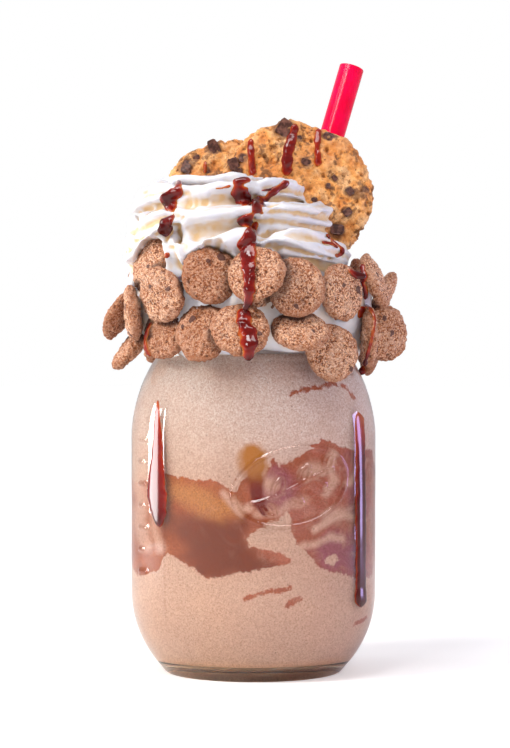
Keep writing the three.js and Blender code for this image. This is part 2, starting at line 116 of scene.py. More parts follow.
def add(tree, kind, settings=None, out=0, **inputs):
    """Adds a node and gives back one of its outputs. settings are its own properties, or the stops of its
    colour ramp as (place, hex colour). Each input is a socket to link from, a hex colour or a plain value."""
    node = tree.nodes.new("ShaderNode" + kind)
    for key, value in (settings or {}).items():
        if key == "stops":
            elements = node.color_ramp.elements
            while len(elements) < len(value):
                elements.new(0.5)
            for element, (place, colour) in zip(elements, value):
                element.position = place
                element.color = linear(colour)
        else:
            setattr(node, key, value)
    for key, value in inputs.items():
        socket = node.inputs[int(key[1:]) if key[1:].isdigit() else key.replace("_", " ")]
        if isinstance(value, bpy.types.NodeSocket):
            tree.links.new(value, socket)
        else:
            socket.default_value = linear(value) if isinstance(value, str) else value
    return node.outputs[out] if node.outputs else node


def new_material(name):
    """A material without nodes yet, its node tree, and the piece's own coordinates to lay patterns on."""
    material = bpy.data.materials.new(name)
    material.use_nodes = True
    tree = material.node_tree
    tree.nodes.clear()
    return material, tree, add(tree, "TexCoord", out="Object")


def every(size_mm):
    """The scale of a pattern whose features are size_mm apart."""
    return 1 / (size_mm * MM)


def layered(tree, colour, *layers):
    """Lays tints over a colour. A layer is its source, which is a socket or an attribute's name, the value at
    which the tint starts, the value at which it is full, how strong it is there, and its colour."""
    for source, start, full, strength, tint in layers:
        if isinstance(source, str):
            source = add(tree, "Attribute", {"attribute_name": source}, "Fac")
        share = add(tree, "MapRange", Value=source, From_Min=start, From_Max=full, To_Max=strength)
        colour = add(tree, "Mix", COLOURS, 2, i0=share, i6=colour, i7=tint)
    return colour


def lattice(cell, seed):
    """A repeatable number from -1 to 1 for each whole-numbered cell."""
    x, y, z = (cell[..., k].astype(np.uint64) for k in range(3))
    mixed = (x * np.uint64(73856093)) ^ (y * np.uint64(19349663)) ^ (z * np.uint64(83492791))
    mixed = (mixed ^ np.uint64(seed * 2654435761 % 2**32)) & np.uint64(0xFFFFFFFF)
    mixed = ((mixed ^ (mixed >> np.uint64(15))) * np.uint64(2246822519)) & np.uint64(0xFFFFFFFF)
    mixed = ((mixed ^ (mixed >> np.uint64(13))) * np.uint64(3266489917)) & np.uint64(0xFFFFFFFF)
    mixed = mixed ^ (mixed >> np.uint64(16))
    return (mixed & np.uint64(0xFFFF)).astype(float) / 32767.5 - 1


def lumps(points, size, seed=0, octaves=1):
    """Smooth random values from about -1 to 1 at an array of points, which change over about size."""
    total, weight = 0.0, 0.0
    for octave in range(octaves):
        p = np.asarray(points, float) / (size / 2**octave) + 1000.0
        cell = np.floor(p).astype(np.int64)
        f = p - cell
        f = f * f * (3 - 2 * f)
        value = 0.0
        for corner in np.ndindex(2, 2, 2):
            share = np.prod(np.where(corner, f, 1 - f), axis=-1)
            value = value + share * lattice(cell + np.array(corner), seed + 17 * octave)
        total = total + value / 2**octave
        weight += 1 / 2**octave
    return total / weight


def pits(points, size, seed=0):
    """Distance to the nearest of many scattered points about size apart, in units of size."""
    p = np.asarray(points, float) / size + 1000.0
    cell = np.floor(p).astype(np.int64)
    nearest = np.full(p.shape[0], 9.0)
    for step in np.ndindex(3, 3, 3):
        other = cell + np.array(step) - 1
        spot = other + 0.5 + 0.45 * np.stack([lattice(other, seed + k) for k in range(3)], -1)
        nearest = np.minimum(nearest, np.linalg.norm(p - spot, axis=-1))
    return nearest


def blend_over(value, low, high):
    """0 up to low and 1 past high, smooth between."""
    share = np.clip((value - low) / (high - low), 0, 1)
    return share * share * (3 - 2 * share)


# Mesh work

def pick(piece):
    """Selects one piece alone."""
    bpy.ops.object.select_all(action="DESELECT")
    bpy.context.view_layer.objects.active = piece
    piece.select_set(True)


def mesh_piece(name, points, faces):
    """A new piece from points in millimetres."""
    mesh = bpy.data.meshes.new(name)
    mesh.from_pydata((np.asarray(points, float) * MM).tolist(), [], [list(f) for f in faces])
    piece = bpy.data.objects.new(name, mesh)
    bpy.context.scene.collection.objects.link(piece)
    return piece


def points_of(piece):
    """A piece's points in millimetres, as an array."""
    flat = np.empty(len(piece.data.vertices) * 3)
    piece.data.vertices.foreach_get("co", flat)
    return flat.reshape(-1, 3) / MM


def set_points(piece, points):
    piece.data.vertices.foreach_set("co", (np.asarray(points) * MM).ravel())
    piece.data.update()


def normals_of(piece):
    flat = np.empty(len(piece.data.vertices) * 3, np.float32)
    piece.data.vertex_normals.foreach_get("vector", flat)
    return flat.reshape(-1, 3).astype(float)


def set_values(piece, name, values):
    """Writes one number a point, for a material to read."""
    layer = piece.data.attributes.new(name, "FLOAT", "POINT")
    layer.data.foreach_set("value", np.asarray(values, np.float32))


def modify(piece, kind, **settings):
    """Adds a modifier and applies it."""
    pick(piece)
    modifier = piece.modifiers.new(kind.lower(), kind)
    for key, value in settings.items():
        setattr(modifier, key, value)
    bpy.ops.object.modifier_apply(modifier=modifier.name)


def melt(piece, grain_mm, passes):
    """Joins all that overlaps in a piece into one skin, and softens it."""
    modify(piece, "REMESH", mode="VOXEL", voxel_size=grain_mm * MM, use_smooth_shade=True)
    modify(piece, "SMOOTH", factor=0.5, iterations=passes)


def push(piece, amounts):
    """Moves each point along its normal by its amount in millimetres."""
    set_points(piece, points_of(piece) + normals_of(piece) * np.asarray(amounts)[:, None])


def joined(name, pieces):
    bpy.ops.object.select_all(action="DESELECT")
    for piece in pieces:
        piece.select_set(True)
    bpy.context.view_layer.objects.active = pieces[0]
    bpy.ops.object.join()
    pieces[0].name = name
    return pieces[0]


def finished(piece, material, slot, *nodes):
    """Gives a piece its finish, smooth shading and its place on the drink."""
    piece.data.materials.clear()
    piece.data.materials.append(material)
    piece.data.polygons.foreach_set("use_smooth", [True] * len(piece.data.polygons))
    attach(piece, "root")
    if nodes:
        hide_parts(*nodes)
    return piece


def turned(name, outline, steps):
    """A (radius, height) outline that starts and ends on the axis, spun round it as on a lathe."""
    mesh = bpy.data.meshes.new(name)
    edges = [(k, k + 1) for k in range(len(outline) - 1)]
    mesh.from_pydata([(r * MM, 0, z * MM) for r, z in outline], edges, [])
    piece = bpy.data.objects.new(name, mesh)
    bpy.context.scene.collection.objects.link(piece)
    modify(piece, "SCREW", axis="Z", angle=2 * math.pi, steps=steps, render_steps=steps,
           use_merge_vertices=True, merge_threshold=1e-6)
    bpy.ops.object.mode_set(mode="EDIT")
    bpy.ops.mesh.select_all(action="SELECT")
    bpy.ops.mesh.normals_make_consistent(inside=False)
    bpy.ops.object.mode_set(mode="OBJECT")
    return piece


def arc(centre, radius, start, end, step_mm=0.7):
    """Points on an arc from start to end, in radians."""
    count = max(2, math.ceil(abs(end - start) * radius / step_mm))
    angles = np.linspace(start, end, count + 1)
    return [(centre[0] + radius * math.cos(a), centre[1] + radius * math.sin(a)) for a in angles]


def straight(start, end, step_mm=0.7):
    """Points on a straight line, without its last."""
    count = max(1, math.ceil(math.dist(start, end) / step_mm))
    return [tuple(np.add(start, np.subtract(end, start) * k / count)) for k in range(count)]


def ring_faces(count, sides):
    """Faces of a closed skin over a row of rings, each of the same number of points."""
    faces = []
    for k in range(count - 1):
        for j in range(sides):
            beside = (j + 1) % sides
            faces.append((k * sides + j, k * sides + beside, (k + 1) * sides + beside, (k + 1) * sides + j))
    return faces + [tuple(reversed(range(sides))), tuple((count - 1) * sides + j for j in range(sides))]


def tube(path, radii, sides):
    """Points and faces of a closed tube along a path, both in millimetres. radii is one pair (side, up) a
    point, with up the second of the two directions across the path."""
    points = []
    for (at, side, up), (wide, tall) in zip(path, radii):
        for j in range(sides):
            a = 2 * math.pi * j / sides
            points.append(at + side * wide * math.cos(a) + up * tall * math.sin(a))
    return points, ring_faces(len(path), sides)


# Camera, floor and light

def camera():
    data = bpy.data.cameras.new("camera")
    data.lens = FOCAL_PX * SENSOR_MM / PHOTO_HEIGHT
    data.sensor_width = SENSOR_MM
    data.clip_start = 0.01
    eye = bpy.data.objects.new("camera", data)
    eye.location = CAMERA * MM
    eye.rotation_euler = (math.pi / 2, 0, 0)
    bpy.context.scene.collection.objects.link(eye)
    bpy.context.scene.camera = eye


def paper_floor():
    """Matt white paper under the jar, which turns as bright as the room away from it."""
    bpy.ops.mesh.primitive_plane_add(size=30)
    floor = bpy.context.object
    floor.name = "floor"
    material, tree, place = new_material("matt white paper")
    away = add(tree, "VectorMath", {"operation": "LENGTH"}, "Value", Vector=place)
    seen = add(tree, "LightPath", out="Is Camera Ray")
    brighter = add(tree, "MapRange", Value=away, From_Min=0.2, From_Max=1.0, To_Min=0.3, To_Max=0.62)
    glow = add(tree, "Math", {"operation": "MULTIPLY"}, i0=seen, i1=brighter)
    shader = add(tree, "BsdfPrincipled", Base_Color="#F4F3F3", Roughness=0.9, Emission_Color="#FFFFFF",
                 Emission_Strength=glow)
    add(tree, "OutputMaterial", Surface=shader)
    floor.data.materials.append(material)


def pale_room():
    """A white surround that is darker behind the camera, so that glass and syrup keep their own colour."""
    world = bpy.data.worlds.new("room")
    world.use_nodes = True
    tree = world.node_tree
    tree.nodes.clear()
    way = add(tree, "TexCoord", out="Generated")
    back = add(tree, "SeparateXYZ", out="Y", Vector=way)
    strength = add(tree, "MapRange", Value=back, From_Min=-1.0, From_Max=-0.1, To_Min=0.22, To_Max=0.6)
    soft = add(tree, "Background", Color="#F1F1F6", Strength=strength)
    bright = add(tree, "Background", Color="#FFFFFF", Strength=1.0)
    seen = add(tree, "LightPath", out="Is Camera Ray")
    add(tree, "OutputWorld", Surface=add(tree, "MixShader", i0=seen, i1=soft, i2=bright))
    bpy.context.scene.world = world
    bpy.context.scene.view_settings.view_transform = "Standard"


def softbox(name, at, aim, size, power, colour="#FFFFFF", mirrored=True):
    """An area light in metres, aimed at a point. One that isn't mirrored shows in no reflection."""
    data = bpy.data.lights.new(name, "AREA")
    data.shape = "RECTANGLE"
    data.size, data.size_y = size
    data.energy = power
    data.color = linear(colour)[:3]
    light = bpy.data.objects.new(name, data)
    light.location = at
    light.rotation_euler = (Vector(aim) - Vector(at)).to_track_quat("-Z", "Y").to_euler()
    light.visible_camera = False
    light.visible_glossy = mirrored
    bpy.context.scene.collection.objects.link(light)
    return light


def lights():
    """A key light from the left, two windows that the glass mirrors, a light above and a soft fill."""
    softbox("key", (-1.05, -0.62, 0.8), (0, 0, 0.1), (0.35, 0.35), 16.5, "#FFFAF2", False)
    softbox("window_left", (-0.52, 0.13, 0.12), (0, 0, 0.12), (0.15, 0.2), 1.3)
    softbox("window_right", (0.50, 0.19, 0.09), (0, 0, 0.09), (0.09, 0.17), 0.62, "#B9A6E6")
    softbox("top", (-0.2, -0.42, 0.85), (0, 0, 0.1), (0.2, 0.2), 2.4)
    # A wide panel overhead only shows as a reflection, along the upper edges of the pattern on the glass.
    panel = softbox("panel", (-0.05, -0.2, 0.85), (0, 0, 0.06), (0.8, 0.28), 6.0)
    panel.visible_diffuse = False
    gleam = softbox("gleam", (-0.5, -0.8, 0.42), (0, 0, 0.13), (0.14, 0.3), 2.2)
    gleam.light_linking.receiver_collection = bpy.data.collections.new("gleaming")
    softbox("fill_right", (0.7, -0.8, 0.4), (0, 0, 0.1), (0.6, 0.6), 5.2, "#F5EBEE", False)


# The jar

def jar_outline():
    """(radius, height) points of the glass, from the middle of the base, up outside and down inside."""
    heel = (JAR_RADIUS - HEEL_RADIUS, HEEL_TOP)
    shoulder = (JAR_RADIUS - SHOULDER_RADIUS, SHOULDER_BOTTOM)
    neck_angle = math.acos((NECK_RADIUS - shoulder[0]) / SHOULDER_RADIUS)
    mouth_angle = math.acos((MOUTH_RADIUS - shoulder[0]) / (SHOULDER_RADIUS - JAR_WALL))
    heel_angle = math.asin((1.2 - HEEL_TOP) / HEEL_RADIUS)
    inner_heel_angle = math.asin((FLOOR + 1.2 - HEEL_TOP) / (HEEL_RADIUS - JAR_WALL))
    points = straight((0, PUSH_UP), (22, PUSH_UP), 4) + [(23.5, PUSH_UP - 0.15), (25.6, 0.7), (26.5, 0.15)]
    points += [(FOOT_INNER, 0), (FOOT_OUTER - 0.4, 0), (FOOT_OUTER + 0.1, 0.3)]
    points += arc(heel, HEEL_RADIUS, heel_angle, 0, 1.0)[1:-1]
    points += straight((JAR_RADIUS, HEEL_TOP), (JAR_RADIUS, SHOULDER_BOTTOM), 0.5)
    points += arc(shoulder, SHOULDER_RADIUS, 0, neck_angle, 1.2)
    top = points[-1][1]
    for z in np.arange(top + 0.5, JAR_HEIGHT - 1, 0.5):
        ridge = sum(math.cos(min(abs(z - middle) / THREAD_HALF, 1) * math.pi / 2) ** 2
                    for middle in THREAD_HEIGHTS)
        points.append((NECK_RADIUS + THREAD_DEPTH * ridge, z))
    points += arc((NECK_RADIUS - 1, JAR_HEIGHT - 1), 1, 0, math.pi / 2, 0.4)
    points += arc((MOUTH_RADIUS + 1, JAR_HEIGHT - 1), 1, math.pi / 2, math.pi, 0.4)
    points += arc(shoulder, SHOULDER_RADIUS - JAR_WALL, mouth_angle, 0, 3.0)
    points += arc(heel, HEEL_RADIUS - JAR_WALL, 0, inner_heel_angle, 2.5)
    points += straight((FLOOR_RADIUS, FLOOR), (0, FLOOR + FLOOR_CROWN), 4) + [(0, FLOOR + FLOOR_CROWN)]
    return points


def near_line(x, z, start, end):
    """Distance of points from a straight stretch."""
    start, end = np.array(start, float), np.array(end, float)
    way = end - start
    share = np.clip(((x - start[0]) * way[0] + (z - start[1]) * way[1]) / (way @ way), 0, 1)
    return np.hypot(x - start[0] - share * way[0], z - start[1] - share * way[1])


def raised_pattern(across, height):
    """Height of the moulded pattern on the glass: a ring with a sprig of leaves in it, and measuring marks.
    across is the way round the glass from the front, in millimetres."""
    x = (across - RING_MIDDLE[0]) * math.cos(RING_TILT) + (height - RING_MIDDLE[1]) * math.sin(RING_TILT)
    z = -(across - RING_MIDDLE[0]) * math.sin(RING_TILT) + (height - RING_MIDDLE[1]) * math.cos(RING_TILT)
    ring = np.abs(np.hypot(x / RING_HALVES[0], z / RING_HALVES[1]) - 1) * 13.5
    nearest = np.where(ring < 3, ring, 9.0)
    stem = np.where(np.abs(x) < STEM_HALF, np.abs(z - STEM_BEND * np.sin(x / STEM_WAVE)), 9.0)
    nearest = np.minimum(nearest, stem)
    for k in range(LEAF_COUNT):
        root = -12.0 + LEAF_STEP * k
        way = 1 if k % 2 else -1
        start = (root, STEM_BEND * math.sin(root / STEM_WAVE))
        tip = (root + 4.4, start[1] + way * 5.4)
        along = math.dist(start, tip)
        share = ((x - start[0]) * (tip[0] - start[0]) + (z - start[1]) * (tip[1] - start[1])) / along**2
        half = 1.5 * np.sin(np.clip(share, 0, 1) * math.pi)
        edge = np.abs(near_line(x, z, start, tip) - half)
        nearest = np.minimum(nearest, np.where((share > 0) & (share < 1), edge, 9.0))
    marks = np.full(across.shape, 9.0)
    for k, level in enumerate(MARK_LEVELS):
        end = MARKS_FROM + MARK_LENGTHS[k % 2]
        marks = np.minimum(marks, near_line(across, height, (MARKS_FROM, level), (end, level)))
    seam = np.minimum(np.abs(across - SEAMS[0]), np.abs(across - SEAMS[1]))
    raised = RING_PROUD * (1 - blend_over(nearest, 0.2, 1.0)) + MARK_PROUD * (1 - blend_over(marks, 0.3, 0.8))
    return raised + SEAM_PROUD * (1 - blend_over(seam, 0.2, 0.7)) * (height > 6) * (height < 104)


def jar():
    """The jar, spun as on a lathe, then given its moulded pattern and the slow waves of pressed glass."""
    piece = turned("glass_jar", jar_outline(), 460)
    points = points_of(piece)
    radius = np.hypot(points[:, 0], points[:, 1])
    azimuth = np.arctan2(points[:, 0], -points[:, 1])
    # The mesh is drawn together towards the front, where the moulded pattern is.
    azimuth = azimuth - 0.42 * np.sin(azimuth) * (1 + 0.25 * np.cos(azimuth)) * np.cos(azimuth / 2)
    points[:, 0], points[:, 1] = radius * np.sin(azimuth), -radius * np.cos(azimuth)
    height = points[:, 2]
    straight_part = blend_over(height, 14, 22) * (1 - blend_over(height, 82, 92))
    outside = radius > JAR_RADIUS - 1.8
    # Pressed glass is never quite true, so what is seen through it bends a little.
    waves = 0.05 * lumps(np.stack([azimuth * 40, height, 0 * height], -1), 9.0, 3)
    raised = raised_pattern(azimuth * JAR_RADIUS, height) * straight_part
    # Where the pattern's flanks slope most, the glass is tinted darker there as painted shade.
    set_values(piece, "flank", np.where(outside, np.clip(4 * raised * (0.95 - raised), 0, 1), 0))
    out = np.where(outside, raised + waves, 0.0)
    points[:, :2] *= (1 + out / np.maximum(radius, 1))[:, None]
    set_points(piece, points)
    return finished(piece, soda_lime_glass(), "glass", "jar")


def soda_lime_glass():
    """Pressed soda-lime glass: clear, smooth and wet-looking. Its thick base is tinted amber, a painted
    reflection of the drink above it, and the flanks of the raised pattern are tinted darker, as painted
    shade."""
    material, tree, place = new_material("pressed soda-lime glass")
    height = add(tree, "SeparateXYZ", out="Z", Vector=place)
    # An amber tint on the base is a painted reflection of the drink above it, and a darker tint on the
    # pattern's flanks is painted shade.
    clear = layered(tree, "#FFE8C4", (height, 4 * MM, 7.5 * MM, 1, "#FBF8F2"),
                    ("flank", 0, 1, 0.85, "#C9A391"))
    shader = add(tree, "BsdfPrincipled", Base_Color=clear, Roughness=0.02, IOR=GLASS_IOR,
                 Transmission_Weight=1.0)
    add(tree, "OutputMaterial", Surface=shader)
    return material


# The shake

def seen_across(azimuth):
    """How far across the glass a point of the drink at an azimuth shows, through the wall, from the front."""
    across = np.linspace(-JAR_RADIUS, JAR_RADIUS, 401)
    inner = JAR_RADIUS - JAR_WALL + INTO_WALL
    turn = (np.arcsin(across / JAR_RADIUS) - np.arcsin(across / JAR_RADIUS / GLASS_IOR)
            + np.arcsin(across / inner / GLASS_IOR))
    return np.interp(azimuth, turn, across)


def inside_by(x, z, corners):
    """How far points lie inside a closed outline, in millimetres, and less than 0 outside."""
    nearest = np.full(x.shape, 99.0)
    inside = np.zeros(x.shape, bool)
    for (x0, z0), (x1, z1) in zip(corners, corners[1:] + corners[:1]):
        nearest = np.minimum(nearest, near_line(x, z, (x0, z0), (x1, z1)))
        crosses = (z0 > z) != (z1 > z)
        inside ^= crosses & (x < (x1 - x0) * (z - z0) / ((z1 - z0) or 1e-9) + x0)
    return np.where(inside, nearest, -nearest)


# The band of syrup that was swirled round the inside of the jar, as seen from the front.
SWIRL_TOP = [(-29, 66), (-26.5, 65.5), (-18, 64), (-13, 64), (-9, 62.5), (-6, 60.5), (-4, 64.5), (0, 65),
             (3.5, 66), (6, 71), (8, 68.5), (14, 71), (19.5, 75), (21.5, 77), (24.5, 75.5), (31.5, 73),
             (36.5, 73), (40, 74)]
SWIRL_LOW = [(40, 31), (35.5, 31.5), (31, 32.5), (27.5, 34.5), (21, 36), (12, 38), (6, 37), (1, 36),
             (-4, 35.5), (-9, 34.5), (-14, 33.5), (-16.5, 34), (-18, 36), (-20.5, 37), (-23.5, 39), (-29, 41)]
# Where the pale drink shows through it.
SWIRL_GAPS = [
    [(-2.5, 46), (0, 48), (3.5, 50.5), (8, 52), (10.5, 54.5), (12, 52), (11.5, 48.5), (13, 46), (14, 43.5),
     (16.5, 41.5), (19, 39.5), (21, 35), (14.5, 33), (11.5, 39.5), (6.5, 42), (3.5, 42.5), (-1, 43.5)],
    [(22.3, 38), (23.5, 40), (26, 40.3), (27.2, 38.8), (26, 37), (23.6, 36.6)],
]
# Where it is clouded by the drink.
SWIRL_HAZE = [
    [(2.5, 67.5), (6.5, 65), (10, 61), (5, 59.5), (1.5, 62)],
    [(14.5, 67.5), (19, 69.5), (24, 67), (21, 64.5), (16, 64)],
    [(21.5, 53), (25.5, 54.5), (31, 54.5), (27, 51), (20, 49)],
]
# Golden, dark and plum-coloured parts of it, and how strong each is round the back.
TONES_BEHIND = {"gold": 0.5, "deep": 0.4, "plum": 0.35}
SWIRL_TONES = {
    "gold": [[(-27, 63), (-20, 62), (-13, 61.5), (-9, 59), (-5, 56.5), (-3.5, 54), (-5, 53), (-10, 52.5),
              (-16, 54), (-22, 56), (-27, 58)]],
    "deep": [[(-27, 51), (-23, 54), (-17, 52.5), (-10, 52), (-3, 52.5), (0, 51), (-2.5, 46), (0, 43), (3, 40),
              (7, 38), (0, 35), (-9, 33.5), (-17, 34), (-19, 37), (-24, 39), (-22, 43), (-27, 46)]],
    "plum": [[(24, 47), (35, 48), (37, 33), (29, 32), (21, 37), (18, 42)],
             [(1, 64), (7, 69), (13, 66), (14, 58), (9, 54), (4, 56)],
             [(30, 72), (37, 72), (37, 50), (31, 52)]],
}
# Pale wisps in it, each with half its width and its strength.
SWIRL_WISPS = [
    (1.3, 0.85, [(25, 71.5), (24, 67.5), (25.5, 63.5), (23, 59.5)]),
    (1.2, 0.8, [(30.5, 62.5), (32.5, 65), (34.5, 68.5)]),
    (1.1, 0.95, [(19.5, 48.5), (23.5, 51), (28.5, 52.5), (33, 51), (34.5, 49.5)]),
    (1.0, 0.8, [(12.5, 41), (16, 43.5), (20, 44), (24, 45.8), (28, 45)]),
    (1.4, 0.6, [(1.5, 53.5), (4.5, 55), (8, 54), (11, 56.5), (16, 57.5)]),
    (0.9, 0.6, [(14.5, 66.5), (18, 68.5), (21, 66)]),
    (1.2, 0.85, [(-9.5, 60), (-6.5, 57), (-3.5, 54.5), (-1.5, 55.5)]),
    (2.4, 0.85, [(-38, 64), (-35.5, 57), (-37, 50), (-34.5, 43)]),
    (1.6, 0.7, [(-32, 66), (-30.5, 58), (-31.5, 48), (-29.5, 42)]),
]
# A stain of syrup that clings inside the glass: its middle and half its width, from its top down.
SWIRL_STAIN = [(-0.4, 72.5, 3), (-0.2, 70.5, 4.6), (0.2, 68, 4.2), (0.8, 65, 2.8), (1, 62, 2),
               (1.4, 58.5, 1.8), (2.6, 56, 1.7), (3.6, 54.8, 1.2)]
# Thin threads of syrup above and below the band, with half their width.
SWIRL_THREADS = [
    (0.7, [(12.5, 90.5), (16, 91.5), (19.5, 92), (23.5, 92.5), (27.5, 94), (31.5, 92.5), (34, 89)]),
    (0.8, [(-2.5, 27.5), (2.5, 29), (6.5, 29.5), (11.5, 30.5)]),
    (0.9, [(10.5, 25), (14, 27)]),
    (0.6, [(33, 17.5), (37, 19)]),
]


def drink_body():
    """The drink as it fills the jar, spun as on a lathe, before the syrup is drawn on it."""
    inner = JAR_RADIUS - JAR_WALL + INTO_WALL
    heel = (JAR_RADIUS - HEEL_RADIUS, HEEL_TOP)
    shoulder = (JAR_RADIUS - SHOULDER_RADIUS, SHOULDER_BOTTOM)
    heel_radius = HEEL_RADIUS - JAR_WALL + INTO_WALL
    shoulder_radius = SHOULDER_RADIUS - JAR_WALL + INTO_WALL
    heel_angle = math.asin((FLOOR + 1.2 - HEEL_TOP) / heel_radius)
    mouth_angle = math.acos((MOUTH_RADIUS + INTO_WALL - shoulder[0]) / shoulder_radius)
    outline = straight((0, FLOOR + 0.5), (FLOOR_RADIUS, FLOOR - 0.1), 2)
    outline += arc(heel, heel_radius, heel_angle, 0, 0.8)[:-1]
    outline += straight((inner, HEEL_TOP), (inner, SHOULDER_BOTTOM), 0.8)
    outline += arc(shoulder, shoulder_radius, 0, mouth_angle, 0.8)
    outline += [(MOUTH_RADIUS + INTO_WALL, SHAKE_LEVEL)] + straight((28, SHAKE_LEVEL), (0, SHAKE_LEVEL), 3)
    outline += [(0, SHAKE_LEVEL)]
    return turned("shake_body", outline, 360)


def shake():
    """The drink, with the syrup that was swirled round inside the glass, the stain and the threads."""
    piece = drink_body()
    points = points_of(piece)
    azimuth = np.arctan2(points[:, 0], -points[:, 1])
    height = points[:, 2]
    x = seen_across(azimuth)
    inner = JAR_RADIUS - JAR_WALL + INTO_WALL
    spot = np.stack([np.sin(azimuth), np.cos(azimuth), height / inner], -1) * inner
    # Seen from the front the band has the drawn edges, and behind it goes on round between uneven ones.
    drawn = inside_by(x, height, SWIRL_TOP + SWIRL_LOW)
    top = 68 + 6 * np.sin(azimuth * 2 + 0.6) + 3.5 * lumps(spot, 11.0, 5, 2)
    low = 38 + 5 * np.sin(azimuth * 3 + 2.0) + 3.5 * lumps(spot, 9.0, 6, 2)
    round_back = np.minimum(top - height, height - low)
    front = blend_over(np.cos(azimuth), 0.05, 0.3) * blend_over(x, -31, -27)
    band = drawn * front + round_back * (1 - front)
    ragged = 0.55 * lumps(spot, 2.6, 7, 2)
    for corners in SWIRL_GAPS:
        band = np.minimum(band, np.where(front > 0.5, -inside_by(x, height, corners) + 0.1, 9))
    haze = np.zeros(len(points))
    for corners in SWIRL_HAZE:
        soft = inside_by(x, height, corners) + 1.8 * lumps(spot, 4.5, 8, 3)
        haze = np.maximum(haze, 0.85 * blend_over(soft, -2.2, 2.4) * front)
    visible = blend_over(np.cos(azimuth), -0.2, 0.25)
    for half, strength, route in SWIRL_WISPS:
        away = near_route(x, height, route)[0] + 0.7 * lumps(spot, 3.5, 8, 3)
        haze = np.maximum(haze, strength * (1 - blend_over(away, 0.2 * half, 1.9 * half)) * visible)
    for tone, shapes in SWIRL_TONES.items():
        soft = np.max([inside_by(x, height, corners) for corners in shapes], axis=0)
        soft = soft + 3.4 * lumps(spot, 6, 9, 3)
        behind = TONES_BEHIND[tone] * blend_over(lumps(spot, 17, len(tone), 2), 0, 0.5)
        set_values(piece, tone, blend_over(soft, -3, 3.4) * visible + behind * (1 - visible))
    threads = np.full(len(points), -9.0)
    for half, route in SWIRL_THREADS:
        for start, end in zip(route, route[1:]):
            threads = np.maximum(threads, np.where(front > 0.5, half - near_line(x, height, start, end), -9))
    stain = np.zeros(len(points))
    rows = np.linspace(0, len(SWIRL_STAIN) - 1, 40)
    columns = [np.interp(rows, range(len(SWIRL_STAIN)), column) for column in zip(*SWIRL_STAIN)]
    for a, b, half in zip(*columns):
        stain = np.maximum(stain, 1 - np.hypot(x - a, height - b) / (1.35 * half))
    stain = (stain + 0.22 * lumps(spot, 2.2, 14, 3) * (stain > 0)) * (front > 0.5)
    set_values(piece, "stain", np.clip(stain, 0, 1))
    set_values(piece, "stain_depth", blend_over(-height + 2.5 * lumps(spot, 3.0, 15, 2), -69, -61))
    set_values(piece, "swirl", np.clip(np.maximum(band, threads) + ragged, -4, 4))
    set_values(piece, "haze", haze)
    # Paler higher up: a painted sheen.
    set_values(piece, "high", blend_over(height + 6 * np.sin(azimuth), 45, 95))
    # Pinker towards the right: a painted tint of the light on that side.
    set_values(piece, "side", np.where(np.cos(azimuth) > -0.2, blend_over(x, -30, 34), 0.5))
    return finished(piece, milkshake(), "shake", "shake")


def milkshake():
    """Blended chocolate milkshake: a pale frothy drink with fine specks, and thinned syrup swirled through
    it. It is painted paler higher up, a painted sheen, and pinker towards its right side, a painted tint of
    the light there."""
    material, tree, place = new_material("frothy chocolate milkshake")
    froth = add(tree, "TexNoise", Vector=place, Scale=every(0.6), Detail=3, Roughness=0.7)
    cloud = add(tree, "TexNoise", Vector=place, Scale=every(16), Detail=2, Roughness=0.5)
    wisp = add(tree, "TexNoise", Vector=place, Scale=every(7), Detail=3, Roughness=0.6, Distortion=1.2)
    fringe = add(tree, "TexNoise", Vector=place, Scale=every(1.4), Detail=3, Roughness=0.6)
    specks = add(tree, "TexVoronoi", Vector=place, Scale=every(3.2))
    side = add(tree, "Attribute", {"attribute_name": "side"}, "Fac")
    swirl = add(tree, "Attribute", {"attribute_name": "swirl"}, "Fac")
    # Pinker towards the right, above and below: a painted tint of the light on that side.
    lower = layered(tree, "#F0CFB8", (side, 0, 1, 1, "#EDC9B8"))
    upper = layered(tree, "#FBF4F0", (side, 0, 1, 1, "#FDF0F2"))
    # Paler higher up: a painted sheen.
    pale = layered(tree, lower, ("high", 0, 1, 1, upper), (cloud, 0.42, 0.62, 0.35, "#E3C6B7"),
                   (froth, 0.44, 0.6, 0.4, "#D3A48C"))
    wisps = add(tree, "MapRange", Value=wisp, From_Min=0.5, From_Max=0.66)
    streak = add(tree, "Math", {"operation": "MULTIPLY"}, i0=side, i1=wisps)
    # The syrup in it is also painted pinker towards the right, a painted tint of the light there.
    syrupy = layered(tree, "#C46A36", (side, 0, 1, 1, "#CC7764"), (cloud, 0.45, 0.58, 0.5, "#B25E36"),
                     ("deep", 0, 1, 1, "#8A3C1A"), ("gold", 0, 1, 1, "#DA9450"), ("plum", 0, 1, 1, "#B4687A"),
                     (streak, 0, 1, 0.45, "#E3B39C"), (froth, 0.45, 0.62, 0.35, "#8E4A2E"),
                     ("haze", 0, 1, 1, "#F0CBB8"))
    uneven = add(tree, "MapRange", Value=fringe, From_Min=0.3, From_Max=0.7, To_Min=-0.5, To_Max=0.5)
    edge = add(tree, "Math", {"operation": "ADD"}, i0=swirl, i1=uneven)
    colour = layered(tree, pale, (edge, -0.2, 0.3, 1, syrupy), (specks, 0.1, 0.04, 0.5, "#8A5F52"))
    # Sandy froth: fine bubbles and cocoa grains, drawn coarse enough to show.
    grains = add(tree, "TexVoronoi", out="Color", Vector=place, Scale=every(0.34))
    stops = ((0.1, "#C6A793"), (0.45, "#EBDDD4"), (0.8, "#FFFFFF"))
    grit = add(tree, "ValToRGB", {"stops": stops}, Fac=grains)
    colour = add(tree, "Mix", {**COLOURS, "blend_type": "MULTIPLY"}, 2, i0=0.56, i6=colour, i7=grit)
    stained = layered(tree, "#C07A28", ("stain_depth", 0, 1, 1, "#7C1A0A"))
    colour = layered(tree, colour, ("stain", 0.05, 0.5, 0.95, stained))
    # It lies wet against the glass, so it has hardly any gloss of its own.
    shader = add(tree, "BsdfPrincipled", Base_Color=colour, Roughness=0.5, Specular_IOR_Level=0.05)
    add(tree, "OutputMaterial", Surface=shader)
    return material


# The straw

